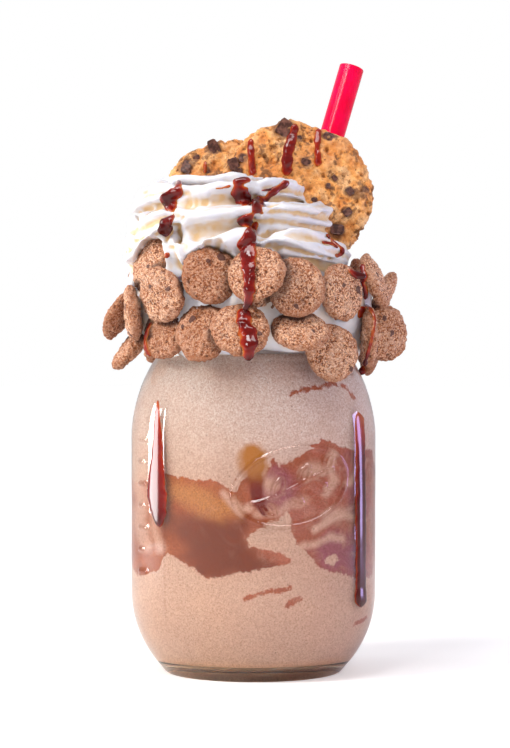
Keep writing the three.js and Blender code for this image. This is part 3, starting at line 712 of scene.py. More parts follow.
def straw():
    up = STRAW_LEAN.normalized()
    foot = STRAW_AT_RIM + STRAW_LEAN * (STRAW_FOOT - STRAW_AT_RIM.z)
    bpy.ops.object.select_all(action="DESELECT")
    bpy.ops.mesh.primitive_cylinder_add(vertices=48, radius=STRAW_OUTER * MM, depth=STRAW_LENGTH * MM,
                                        end_fill_type="NOTHING")
    piece = bpy.context.object
    piece.name = "straw_tube"
    modify(piece, "SOLIDIFY", thickness=(STRAW_OUTER - STRAW_INNER) * MM, offset=-1)
    modify(piece, "BEVEL", width=0.12 * MM, segments=2, limit_method="ANGLE", angle_limit=math.radians(40))
    turn = Vector((0, 0, 1)).rotation_difference(up).to_matrix().to_4x4()
    place = Matrix.Translation((foot + up * STRAW_LENGTH / 2) * MM)
    piece.data.transform(place @ turn)
    return finished(piece, red_polypropylene(), "straw", "straw")


def red_polypropylene():
    """Extruded polypropylene: a smooth bright red wall that lets a little light through."""
    material, tree, place = new_material("extruded red polypropylene")
    streak = add(tree, "TexNoise", Vector=place, Scale=every(6), Detail=2, Roughness=0.55)
    colour = layered(tree, "#DE0038", (streak, 0.35, 0.65, 1, "#EC0046"))
    shader = add(tree, "BsdfPrincipled", Base_Color=colour, Roughness=0.16, Specular_IOR_Level=0.16,
                 Subsurface_Weight=0.25, Subsurface_Radius=(1.0, 0.25, 0.3), Subsurface_Scale=MM)
    add(tree, "OutputMaterial", Surface=shader)
    return material


# Whipped cream

def rope_at(turn):
    """Middle of the piped rope, its outward direction and half its width, after a number of turns."""
    table = np.array(CREAM_TURNS)
    height, reach, middle_x, rope = (np.interp(turn, table[:, 0], table[:, k]) for k in (1, 2, 3, 4))
    azimuth = math.radians(180 + 360 * turn)
    outward = np.array([math.sin(azimuth), -math.cos(azimuth), 0.0])
    middle = outward * reach + np.array([middle_x, CREAM_CENTRE_Y, height])
    return middle, outward, rope


def piped_rope():
    """The rope from a star nozzle: a lip that rolls over a hollow, with sharp ridges along it on the right
    and broad folds across it on the left."""
    sides, per_turn = 64, 220
    start, end = CREAM_TURNS[0][0], CREAM_TURNS[-1][0]
    rows = int((end - start) * per_turn)
    angle = np.linspace(0, 2 * math.pi, sides, endpoint=False)
    points = []
    for row in range(rows + 1):
        turn = start + (end - start) * row / rows
        middle, outward, rope = rope_at(turn)
        azimuth = math.atan2(outward[0], -outward[1])
        right = float(blend_over(azimuth, 0.15, 0.7) * (1 - blend_over(azimuth, 2.3, 3.0)))
        left = float(blend_over(-azimuth, 0.75, 1.1) * (1 - blend_over(-azimuth, 2.4, 3.0)))
        lip = 0.20 * np.exp(-((angle - 0.7) / 0.38) ** 2)
        lip -= 0.30 * np.exp(-(((angle + math.pi) % (2 * math.pi) - math.pi + 0.35) / 0.5) ** 2)
        comb = 1 - np.abs(np.sin(4.5 * angle + 2.2 * turn + 0.5 * math.sin(9 * turn))) ** 0.8
        ridges = (0.04 + 0.32 * right) * (comb - 0.35)
        pleat = 1 - abs(math.sin(turn * math.pi * 17 + 0.8 * math.sin(turn * 11)))
        folds = left * 0.30 * (pleat - 0.35) * (0.5 + 0.5 * np.cos(angle - 0.3))
        slow = 0.05 * math.sin(turn * 14.3) + 0.05 * math.sin(turn * 31.7 + 2)
        radius = rope * (1 + lip + ridges + folds + slow)
        lift = rope * (0.06 * math.sin(turn * 22.1 + 1) + left * 0.10 * (pleat - 0.35))
        ring = middle + outward * (radius * np.cos(angle))[:, None]
        ring = ring + np.array([0, 0, 1.0]) * (radius * np.sin(angle) + lift)[:, None]
        points.append(ring)
    return mesh_piece("rope", np.concatenate(points), ring_faces(rows + 1, sides))


# Lips and hollows of the cream, as seen from the front: how far each stands out, how soon it falls away
# above its line and below it, and the line from left to right.
CREAM_LIPS = (
    (1.2, 0.7, 2.2, [(-32.2, 159), (-26, 160.8), (-20.8, 161.2), (-13.7, 160.8), (-7.6, 161.9),
                     (-3.2, 161.6)]),
    (1.3, 0.8, 2.4, [(-18.6, 157.6), (-16, 157), (-11.5, 158.6), (-5, 158.8), (2, 157.6)]),
    (1.6, 0.8, 2.8, [(-23, 146.6), (-21.2, 149.3), (-16.4, 149.8), (-9.8, 150.7), (-3.2, 151.5), (2, 151.8)]),
    (0.6, 1.0, 1.6, [(-21.2, 149.3), (-23, 146.7), (-23.2, 144), (-20.8, 141.4)]),
    (2.0, 0.9, 3.6, [(-21.2, 133.1), (-19, 137), (-15.5, 140.1), (-10.7, 141), (-5.4, 142.8), (-2.3, 143.4)]),
    (1.5, 0.9, 1.2, [(-26.9, 142.7), (-25.1, 139.2), (-23.4, 135.7), (-21.2, 132.6)]),
    (1.4, 0.9, 1.4, [(-26.9, 142.7), (-29.6, 140.1), (-30, 136.6), (-30.2, 132.6)]),
    (1.9, 0.8, 2.0, [(-40.1, 141.2), (-36.5, 143.4), (-32.8, 144.9), (-26.2, 147.8)]),
    (1.8, 0.8, 2.0, [(-40.9, 135.7), (-37.9, 139), (-34.3, 141.2), (-30.6, 142.7)]),
    (1.5, 0.7, 1.8, [(-39.4, 150.2), (-37.2, 153.1), (-34.6, 154.5), (-31, 155.2)]),
    (1.2, 0.7, 1.6, [(-37.5, 147), (-34.5, 149.2), (-30, 151)]),
    (1.1, 0.7, 1.6, [(-1.8, 159.7), (4.4, 160.3), (11.8, 160.2), (13.5, 159)]),
    (0.8, 0.5, 1.3, [(3.8, 155.9), (10.4, 156.6), (15.6, 155.2)]),
    (0.9, 0.5, 1.3, [(3.8, 151.6), (11.9, 152.4), (17.8, 151.4), (20.8, 150.7)]),
    (1.2, 0.45, 1.4, [(2.4, 148.9), (10.4, 149.3), (17.8, 148.2), (22.9, 146.7), (26.2, 146.7)]),
    (1.2, 0.45, 1.4, [(2.4, 145.4), (10.4, 145.6), (19.2, 144.1), (23.6, 143.4)]),
    (1.6, 0.6, 1.8, [(2.6, 140), (4.8, 142), (8.2, 142.1), (15.6, 140.1), (22.9, 137.5), (29.5, 135.3)]),
    (1.2, 0.45, 1.4, [(10.4, 137.5), (17.8, 135.9), (25.1, 134.1), (31, 133.1)]),
)
# The fold that hangs down at the far left: its middle, and half its width.
HANGING_FOLD = ((-35.8, -7, 145, 2.4), (-38.1, -7, 142, 3.0), (-38.8, -7.5, 139, 2.7),
                (-37.6, -8, 136.4, 2.4), (-38.6, -8, 133, 2.8), (-38.0, -8.5, 129.5, 2.4),
                (-38.8, -8.5, 126.6, 2.2), (-38.7, -8.5, 124.4, 1.3))


def near_route(a, b, route):
    """Distance of points from a drawn route, and the side of it that they lie on: 1 is above a route that
    goes to the right."""
    nearest = np.full(a.shape, 99.0)
    side = np.zeros(a.shape)
    for (a0, b0), (a1, b1) in zip(route, route[1:]):
        away = near_line(a, b, (a0, b0), (a1, b1))
        turn = (a1 - a0) * (b - b0) - (b1 - b0) * (a - a0)
        side = np.where(away < nearest, np.sign(turn), side)
        nearest = np.minimum(nearest, away)
    return nearest, side


def seen_from_front(points):
    """Where points show on the upright plane through the jar's axis, from the camera."""
    share = -CAMERA.y / (points[:, 1] - CAMERA.y)
    return CAMERA.x + (points[:, 0] - CAMERA.x) * share, CAMERA.z + (points[:, 2] - CAMERA.z) * share


def shape_lips(piece):
    """Raises the lips of the piped folds on the side that the camera sees, with a hollow under each."""
    points, normals = points_of(piece), normals_of(piece)
    a, b = seen_from_front(points)
    facing = blend_over(-normals[:, 1], -0.25, 0.15) * (points[:, 1] < 8)
    out = np.zeros(len(points))
    for height, above, below, route in CREAM_LIPS:
        away, side = near_route(a, b, route)
        lip = height * np.exp(-(away / np.where(side > 0, above, below)) ** 2)
        hollow = 0.75 * height * np.exp(-((away - 1.9 * below) / below) ** 2) * (side < 0)
        out = out + 1.4 * (lip - hollow)
    push(piece, out * facing)


def press_in(piece, gap=0.25, clear=14.0):
    """Presses each piece of cereal into the cream: the cream in front of it goes back behind it."""
    points = points_of(piece)
    for number, (middle, turn) in cereal_frames.items():
        out = turn[:, 2]
        way = FOLD_WAY if number == UNDER_FOLD else out
        ahead = (points - middle) @ out / (way @ out)
        through = points - ahead[:, None] * way
        flat = np.linalg.norm(through - middle, axis=1) / (CEREAL_RADIUS + gap)
        back = (CEREAL_THICKNESS / 2 + gap) * (1 - np.clip(flat, 0, 1) ** 2.5) ** 0.4
        inside = (flat < 1) & (ahead * (way @ out) > -back) & (ahead < clear)
        points = np.where(inside[:, None], through - out * back[:, None], points)
    set_points(piece, points)


def cream_core():
    """The soft middle that the rope is wound round, down to the drink."""
    first, last = CREAM_TURNS[0], CREAM_TURNS[-1]
    rows, sides = 24, 64
    rings = []
    for row in range(rows + 1):
        rise = row / rows * 0.985
        height = CREAM_SKIRT + (last[1] - CREAM_SKIRT) * rise
        reach = (first[2] + 4.5) * max(0.0, 1 - rise**2.4) ** (1 / 2.4)
        x = first[3] + (last[3] - first[3]) * rise
        rings.append([(x + reach * math.cos(a), CREAM_CENTRE_Y + reach * math.sin(a), height)
                      for a in np.linspace(0, 2 * math.pi, sides, endpoint=False)])
    lower = [(r * math.cos(a), r * math.sin(a), z) for r, z in ((29.0, SHAKE_LEVEL), (29.0, CREAM_SKIRT + 1))
             for a in np.linspace(0, 2 * math.pi, sides, endpoint=False)]
    pieces = []
    for name, rings_here in (("core", np.concatenate(rings)), ("plug", np.array(lower))):
        pieces.append(mesh_piece(name, rings_here, ring_faces(len(rings_here) // sides, sides)))
    return pieces


def hanging_fold():
    places = np.array(HANGING_FOLD, float)
    rows = np.linspace(0, len(places) - 1, 40)
    at = np.stack([np.interp(rows, range(len(places)), places[:, k]) for k in range(4)], -1)
    path = [(row[:3], np.array([1.0, 0, 0]), np.array([0, 1.0, 0])) for row in at]
    return mesh_piece("fold", *tube(path, [(row[3], row[3] * 1.6) for row in at], 24))


def whipped_cream():
    """The rope, the hanging fold and the core melted into one, with sharp lips and the cereal pressed in."""
    piece = joined("piped_cream", [piped_rope(), hanging_fold(), *cream_core()])
    melt(piece, ROUGH_CREAM_GRAIN, 2)
    shape_lips(piece)
    press_in(piece)
    melt(piece, CREAM_GRAIN, 2)
    points = points_of(piece)
    keep_low = blend_over(points[:, 2], CREAM_SKIRT, CREAM_SKIRT + 3)
    push(piece, keep_low * (0.22 * lumps(points, 4.0, 11, 2) + 0.12 * lumps(points, 1.4, 12)))
    # How deep each point lies in the folds, for the painted shade there.
    set_values(piece, "hollow", hollows(piece))
    return finished(piece, dairy_cream(), "cream", "whipped_cream")


def hollows(piece, passes=40):
    """How far each point lies below its softened surroundings, from 0 on a crest to 1 in a deep fold."""
    points, normals = points_of(piece), normals_of(piece)
    soft = piece.copy()
    soft.data = piece.data.copy()
    bpy.context.scene.collection.objects.link(soft)
    modify(soft, "SMOOTH", factor=0.5, iterations=passes)
    sunk = np.sum((points_of(soft) - points) * normals, axis=1)
    bpy.data.objects.remove(soft)
    return np.clip(0.38 + sunk * 1.3, 0, 1)


def tree_of(pieces):
    """A search tree of several pieces, in millimetres."""
    points, faces, start = [], [], 0
    for piece in pieces:
        own = points_of(piece)
        points.extend(map(tuple, own))
        faces.extend([tuple(start + v for v in polygon.vertices) for polygon in piece.data.polygons])
        start += len(own)
    return BVHTree.FromPolygons(points, faces)


def dairy_cream():
    """Whipped dairy cream: soft, matt and slightly see-through, bluish white on its crests, with its folds
    painted a darker buttery colour as painted shade."""
    material, tree, place = new_material("whipped dairy cream")
    cloud = add(tree, "TexNoise", Vector=place, Scale=every(7), Detail=2, Roughness=0.55)
    bubbles = add(tree, "TexNoise", Vector=place, Scale=every(0.7), Detail=2, Roughness=0.55)
    # The folds are painted darker and buttery by how deep they lie: painted shade.
    colour = layered(tree, "#D0D2DC", (cloud, 0.3, 0.7, 1, "#DEDCDF"), ("hollow", 0.32, 0.72, 1, "#D3B58A"))
    relief = add(tree, "Bump", Height=bubbles, Strength=0.5, Distance=0.12 * MM)
    shader = add(tree, "BsdfPrincipled", Base_Color=colour, Roughness=0.42, Subsurface_Weight=0.3,
                 Subsurface_Radius=(1.0, 0.8, 0.55), Subsurface_Scale=0.8 * MM, Normal=relief)
    add(tree, "OutputMaterial", Surface=shader)
    return material


def cream_collar():
    """The cream that is spread round the neck, between the glass and the cereal."""
    rows, sides = 40, 260
    points = []
    for row in range(rows):
        share = row / (rows - 1)
        height = COLLAR_FOOT + (COLLAR_TOP - COLLAR_FOOT) * share
        for k in range(sides):
            a = 2 * math.pi * k / sides
            sag = 1.6 * math.sin(4 * a + 0.6) + 1.0 * math.sin(7 * a) + 0.7 * math.sin(13 * a + 2)
            z = height + sag * (1 - share) ** 2
            swell = math.sin(min(share * 2.1 + 0.12, 1) * math.pi / 2) ** 0.8
            r = NECK_RADIUS + 0.4 + COLLAR_THICKNESS * swell
            if share > 0.9:
                r -= 9 * (share - 0.9)
            points.append((r * math.cos(a), r * math.sin(a), z))
    inner = [((NECK_RADIUS - 1.5) * math.cos(2 * math.pi * k / sides),
              (NECK_RADIUS - 1.5) * math.sin(2 * math.pi * k / sides), z)
             for z in (COLLAR_TOP, COLLAR_FOOT - 0.5) for k in range(sides)]
    points = np.array(points + inner)
    loops = rows + 2
    faces = [(k * sides + j, k * sides + (j + 1) % sides, ((k + 1) % loops) * sides + (j + 1) % sides,
              ((k + 1) % loops) * sides + j) for k in range(loops) for j in range(sides)]
    piece = mesh_piece("spread_cream", points, faces)
    points = points_of(piece)
    outer = np.hypot(points[:, 0], points[:, 1]) > NECK_RADIUS + 0.2
    push(piece, outer * (0.9 * lumps(points, 6.0, 21, 2) + 0.25 * lumps(points, 1.8, 22)))
    # The collar has no folds: the buttery fold colour lies on it in random patches.
    set_values(piece, "hollow", 0.35 + 0.3 * lumps(points, 5.0, 23))
    return finished(piece, bpy.data.materials["whipped dairy cream"], "cream", "cream_collar")


# Cereal

def disc_frame(node):
    """Middle of a round flat node, and a turn whose third column is its way out, from its points' spread."""
    points = np.unique(points_of(node).round(3), axis=0)
    middle = (points.min(0) + points.max(0)) / 2
    spread = np.linalg.eigh(np.cov((points - points.mean(0)).T))[1]
    out = spread[:, 0]
    if out @ np.array([middle[0], middle[1], 0]) < 0:
        out = -out
    return middle, np.array(Vector(out).to_track_quat("Z", "Y").to_matrix())


def under_others(number, points):
    """How closely each point of a piece of cereal lies under the rim of another, from 0 to 1, for a painted
    contact shadow there.
    """
    met = np.zeros(len(points))
    for other, (middle, turn) in cereal_frames.items():
        if other != number and np.linalg.norm(middle - cereal_frames[number][0]) < 2.3 * CEREAL_RADIUS:
            local = (points - middle) @ turn
            beside = np.hypot(local[:, 0], local[:, 1]) / CEREAL_RADIUS
            below = blend_over(-local[:, 2], -1.6, 0.2) * (1 - blend_over(-local[:, 2], 3.0, 7.0))
            met = np.maximum(met, below * (1 - blend_over(beside, 1.0, 1.2)))
    return met


def toasted_disc(name, seed):
    """One piece of cereal, round its own middle, facing +Z."""
    bpy.ops.object.select_all(action="DESELECT")
    bpy.ops.mesh.primitive_ico_sphere_add(subdivisions=6, radius=1)
    piece = bpy.context.object
    piece.name = name
    p = points_of(piece) * MM
    angle = np.arctan2(p[:, 1], p[:, 0])
    flat = np.clip(np.hypot(p[:, 0], p[:, 1]), 0, 1)
    rim = flat ** 0.8
    size = CEREAL_RADIUS * (0.97 + 0.03 * lattice(np.array([[seed, 3, 1]]), 4)[0])
    size = size * (1 + 0.025 * np.sin(2 * angle + seed) + 0.015 * np.sin(3 * angle + 5 * seed))
    thick = CEREAL_THICKNESS / 2 * (0.97 + 0.08 * np.sin(3 * angle + 2 * seed) * flat)
    points = np.stack([np.cos(angle) * size * rim, np.sin(angle) * size * rim,
                       thick * np.sign(p[:, 2]) * np.abs(p[:, 2]) ** 0.8], -1)
    set_points(piece, points)
    return piece


def cereal_piece(number):
    """One disc in the place of its node, with lumps, open pores and one or two dark chips baked in."""
    node_name = f"cereal_{number:02d}"
    piece = toasted_disc(f"toasted_{node_name}", number)
    middle, turn = cereal_frames[number]
    local = points_of(piece)
    placed = local @ turn.T + middle
    set_points(piece, placed)
    crumb = lumps(placed, 0.95, number + 9, 2)
    pores = pits(placed, 1.5, number) + 0.25 * crumb
    lump = lumps(placed, 3.4, number, 2)
    depth = 0.55 * lump - 0.45 * (1 - blend_over(pores, 0.02, 0.36)) + 0.45 * crumb
    chip = np.zeros(len(placed))
    for k in range(1 + number % 2):
        where = 6.5 * lattice(np.array([[number, k, 5], [number, k, 6]]), 8)
        away = np.hypot(local[:, 0] - where[0], local[:, 1] - where[1]) + 0.7 * lumps(placed, 1.3, k)
        chip = np.maximum(chip, (1 - blend_over(away, 0.55 + 0.3 * k, 0.85 + 0.4 * k)) * (local[:, 2] > 0))
    push(piece, depth * (1 - chip) + 0.35 * chip)
    flat = np.hypot(local[:, 0], local[:, 1]) / CEREAL_RADIUS
    # The pores are painted dark: painted shade in their recesses.
    set_values(piece, "pore", np.clip(-(depth + 0.1) / 0.6, 0, 1) * (1 - chip))
    set_values(piece, "crumb", np.clip(0.5 + 0.6 * crumb + 0.4 * lump, 0, 1))
    # Darker towards the rim: browned there, and partly painted shade that sets overlapping pieces apart.
    set_values(piece, "rim", blend_over(flat + 0.06 * lump, 0.78, 0.97))
    # Dark under the rim of another piece: a painted contact shadow.
    set_values(piece, "met", under_others(number, placed))
    # Each piece has its own random tone, and those that sit in shade are painted much darker, as painted
    # shade.
    darker = 1.6 if number in CEREAL_PAINTED_IN_SHADE else 0.5 + 0.5 * lattice(np.array([[number, 7, 2]]), 3)[0]
    set_values(piece, "tone", np.full(len(placed), darker))
    set_values(piece, "chip", chip)
    return finished(piece, bpy.data.materials["toasted cocoa crumb"], "cereal", node_name)


def toasted_crumb():
    """Baked cocoa cereal: dry, rough and open-pored, lighter where crumbs stand proud. Its pores, its rims,
    which are also browned, where it lies under other pieces, and the pieces that sit in shade are painted
    darker, as painted shade.
    """
    material, tree, place = new_material("toasted cocoa crumb")
    grain = add(tree, "TexNoise", Vector=place, Scale=every(0.7), Detail=3, Roughness=0.75)
    patch = add(tree, "TexNoise", Vector=place, Scale=every(5), Detail=2, Roughness=0.55)
    dust = add(tree, "TexNoise", Vector=place, Scale=every(0.5), Detail=2, Roughness=0.8)
    stops = ((0.4, "#43190C"), (0.46, "#8E4826"), (0.52, "#C98455"), (0.59, "#F8CCA8"))
    colour = add(tree, "ValToRGB", {"stops": stops}, Fac=grain)
    # The pore, rim, contact and darker-tone layers are painted shade.
    colour = layered(tree, colour, (patch, 0.45, 0.62, 0.4, "#AC663A"), ("crumb", 0.5, 0.85, 0.5, "#E4B99D"),
                     (dust, 0.54, 0.62, 0.8, "#FBDCC6"), ("tone", 0, 2, 0.6, "#8C4C28"),
                     ("rim", 0, 1, 0.5, "#9E6240"), ("pore", 0.25, 0.9, 0.8, "#5A3020"),
                     ("met", 0.1, 1, 0.9, "#43241A"), ("chip", 0.3, 0.7, 0.9, "#553632"))
    relief = add(tree, "Bump", Height=grain, Strength=1.0, Distance=0.8 * MM)
    shader = add(tree, "BsdfPrincipled", Base_Color=colour, Roughness=0.8, Normal=relief)
    add(tree, "OutputMaterial", Surface=shader)
    return material


# Cookies

# Where chips show in each cookie's face, and how wide they are, from the cookie's middle.
CHIPS = {
    "cookie_front": [(-4.1, 22.6, 4.8), (0.9, 19.1, 1.6), (10.9, 19.8, 2.8), (-21, 10.2, 3.6),
                     (-18.2, 12.2, 2.2), (-19.6, 7.6, 2), (2.9, 10.7, 2.5), (17.5, 1, 2.5), (22.8, 1.7, 1.8),
                     (16.4, -6.1, 2.6), (13, -12, 3.8), (12.5, 5.4, 1.7), (10.3, 2.7, 1.5), (-8, 4, 2),
                     (5.6, -2, 1.6)],
    "cookie_back": [(-6.5, 22.4, 3.8), (-15.7, 15.1, 3.8), (-12.3, 18.5, 2), (-8.6, 13.4, 1.7), (-19, 5, 2.2),
                    (4, 16, 2.4)],
}


def cookie_place(at, lean, yaw):
    """Turns a cookie made facing +Z so that it leans back and faces its way, and sets it in place."""
    out = Vector((math.sin(math.radians(yaw)) * math.cos(math.radians(lean)),
                  -math.cos(math.radians(yaw)) * math.cos(math.radians(lean)), math.sin(math.radians(lean))))
    side = Vector((0, 0, 1)).cross(out).normalized()
    up = out.cross(side)
    turn = Matrix((side, up, out)).transposed()
    return np.array(turn), np.array(at, float)


def cookie(name, at, lean, yaw, seed):
    """A cookie with a craggy top: lumps of dough, cracks between them, and pits where crumbs fell out."""
    bpy.ops.object.select_all(action="DESELECT")
    bpy.ops.mesh.primitive_ico_sphere_add(subdivisions=7, radius=1)
    piece = bpy.context.object
    piece.name = name + "_baked"
    p = points_of(piece) * MM
    angle = np.arctan2(p[:, 1], p[:, 0])
    flat = np.clip(np.hypot(p[:, 0], p[:, 1]), 0, 1)
    power = 2 / 3
    wobble = 1 + 0.014 * np.sin(3 * angle + seed) + 0.01 * np.sin(7 * angle + 2 * seed)
    half = COOKIE_THICKNESS / 2 * (1 + 0.1 * (1 - flat) + 0.06 * np.sin(4 * angle + seed) * flat)
    local = np.stack([np.cos(angle) * COOKIE_RADIUS * wobble * flat ** power,
                      np.sin(angle) * COOKIE_RADIUS * wobble * flat ** power,
                      half * np.sign(p[:, 2]) * np.abs(p[:, 2]) ** power], -1)
    turn, middle = cookie_place(at, lean, yaw)
    placed = local @ turn.T + middle
    set_points(piece, placed)
    crags = lumps(placed, 6.0, seed + 30, 3)
    crumbs = lumps(placed, 1.9, seed + 31, 2)
    torn = np.abs(lumps(placed, 7.0, seed + 33, 3))
    crack = (1 - blend_over(torn, 0.0, 0.07)) * blend_over(lumps(placed, 9.0, seed + 37), -0.1, 0.3)
    hole = 1 - blend_over(pits(placed, 3.1, seed + 34) + 0.12 * crumbs, 0.05, 0.28)
    depth = 1.6 * crags + 0.8 * crumbs - 0.9 * crack - 1.0 * hole + 0.3 * lumps(placed, 0.95, seed + 35)
    push(piece, depth)
    # Darker in the cracks, pits and low spots: painted shade.
    set_values(piece, "crack", np.clip(0.7 * crack + 0.8 * hole + np.clip(-crumbs - 0.35, 0, 1), 0, 1))
    set_values(piece, "crumb", np.clip(0.5 + 0.5 * crumbs + 0.3 * crags, 0, 1))
    smear = np.zeros(len(placed))
    for x, y, across in CHIPS[name]:
        away = np.hypot(local[:, 0] - x, local[:, 1] - y) + 1.1 * lumps(placed, 2.2, seed + 41, 2)
        smear = np.maximum(smear, (1 - blend_over(away, 0.45 * across, 1.15 * across)) * (local[:, 2] > 0))
    set_values(piece, "smear", smear)
    return finished(piece, bpy.data.materials["baked cookie dough"], "cookie", name)


def cookie_chips(name, chips, at, lean, yaw, seed, **other):
    """Chocolate chips that show in a cookie's face, each an uneven lump with a flat broken top."""
    turn, middle = cookie_place(at, lean, yaw)
    pieces = []
    for k, (x, y, across) in enumerate(chips):
        bpy.ops.object.select_all(action="DESELECT")
        bpy.ops.mesh.primitive_ico_sphere_add(subdivisions=4, radius=1)
        piece = bpy.context.object
        p = points_of(piece) * MM
        # A squared-off ball with lumps on it, cut flat and a little aslant on top.
        p = np.sign(p) * np.abs(p) ** 0.45 * (1 + 0.24 * lumps(p, 0.9, seed * 20 + k, 3))[:, None]
        p[:, 2] = np.minimum(p[:, 2], 0.5 + 0.16 * p[:, 0] + 0.1 * lumps(p, 0.4, k))
        flat = math.hypot(x, y) / COOKIE_RADIUS
        top = COOKIE_THICKNESS / 2 * max(0.0, 1 - flat**3) ** (1 / 3)
        spin = 2.4 * k + seed
        p = p * np.array([across * 0.6, across * 0.46, across * 0.45])
        cos, sin = math.cos(spin), math.sin(spin)
        p = p @ np.array([[cos, sin, 0], [-sin, cos, 0], [0, 0, 1]])
        p = p + np.array([x, y, top - 0.02 * across + 0.15])
        set_points(piece, p @ turn.T + middle)
        pieces.append(piece)
    return finished(joined(name + "_chips", pieces), bpy.data.materials["dark chocolate"], "cookie")


def dark_chocolate():
    """Chocolate chips: smooth broken faces with a dusty grey bloom."""
    material, tree, place = new_material("dark chocolate")
    bloom = add(tree, "TexNoise", Vector=place, Scale=every(1.6), Detail=3, Roughness=0.6)
    colour = layered(tree, "#3C1E15", (bloom, 0.42, 0.62, 1, "#6E463A"))
    relief = add(tree, "Bump", Height=bloom, Strength=0.5, Distance=0.25 * MM)
    shader = add(tree, "BsdfPrincipled", Base_Color=colour, Roughness=0.38, Normal=relief)
    add(tree, "OutputMaterial", Surface=shader)
    return material


def cookie_dough():
    """Baked cookie dough: sugary and golden, painted darker in its cracks, pits and low spots as painted
    shade, with dark crumbs all through it.
    """
    material, tree, place = new_material("baked cookie dough")
    patch = add(tree, "TexNoise", Vector=place, Scale=every(7), Detail=3, Roughness=0.55)
    grain = add(tree, "TexNoise", Vector=place, Scale=every(0.9), Detail=4, Roughness=0.7)
    crumb = add(tree, "TexNoise", Vector=place, Scale=every(2.2), Detail=3, Roughness=0.6)
    cluster = add(tree, "TexNoise", Vector=place, Scale=every(8), Detail=2, Roughness=0.55)
    fleck = add(tree, "TexNoise", Vector=place, Scale=every(0.8), Detail=1, Roughness=0.5)
    clustered = add(tree, "Math", {"operation": "MULTIPLY_ADD"}, i0=cluster, i1=0.7, i2=crumb)
    stops = ((0.36, "#C87A36"), (0.45, "#DC9049"), (0.54, "#E8A45A"), (0.64, "#F0C089"))
    colour = add(tree, "ValToRGB", {"stops": stops}, Fac=patch)
    # The crack layer is painted shade in the cracks and pits.
    colour = layered(tree, colour, (grain, 0.6, 0.4, 0.55, "#B0692C"), ("crumb", 0.5, 0.95, 0.5, "#F2C490"),
                     (clustered, 0.9, 1.0, 0.8, "#6A4322"), (fleck, 0.67, 0.73, 0.7, "#5A3822"),
                     ("crack", 0.15, 0.9, 0.7, "#8A5226"), ("smear", 0.2, 0.9, 0.75, "#5E3A26"))
    relief = add(tree, "Bump", Height=grain, Strength=0.9, Distance=0.6 * MM)
    shader = add(tree, "BsdfPrincipled", Base_Color=colour, Roughness=0.7, Normal=relief)
    add(tree, "OutputMaterial", Surface=shader)
    return material


# Chocolate syrup

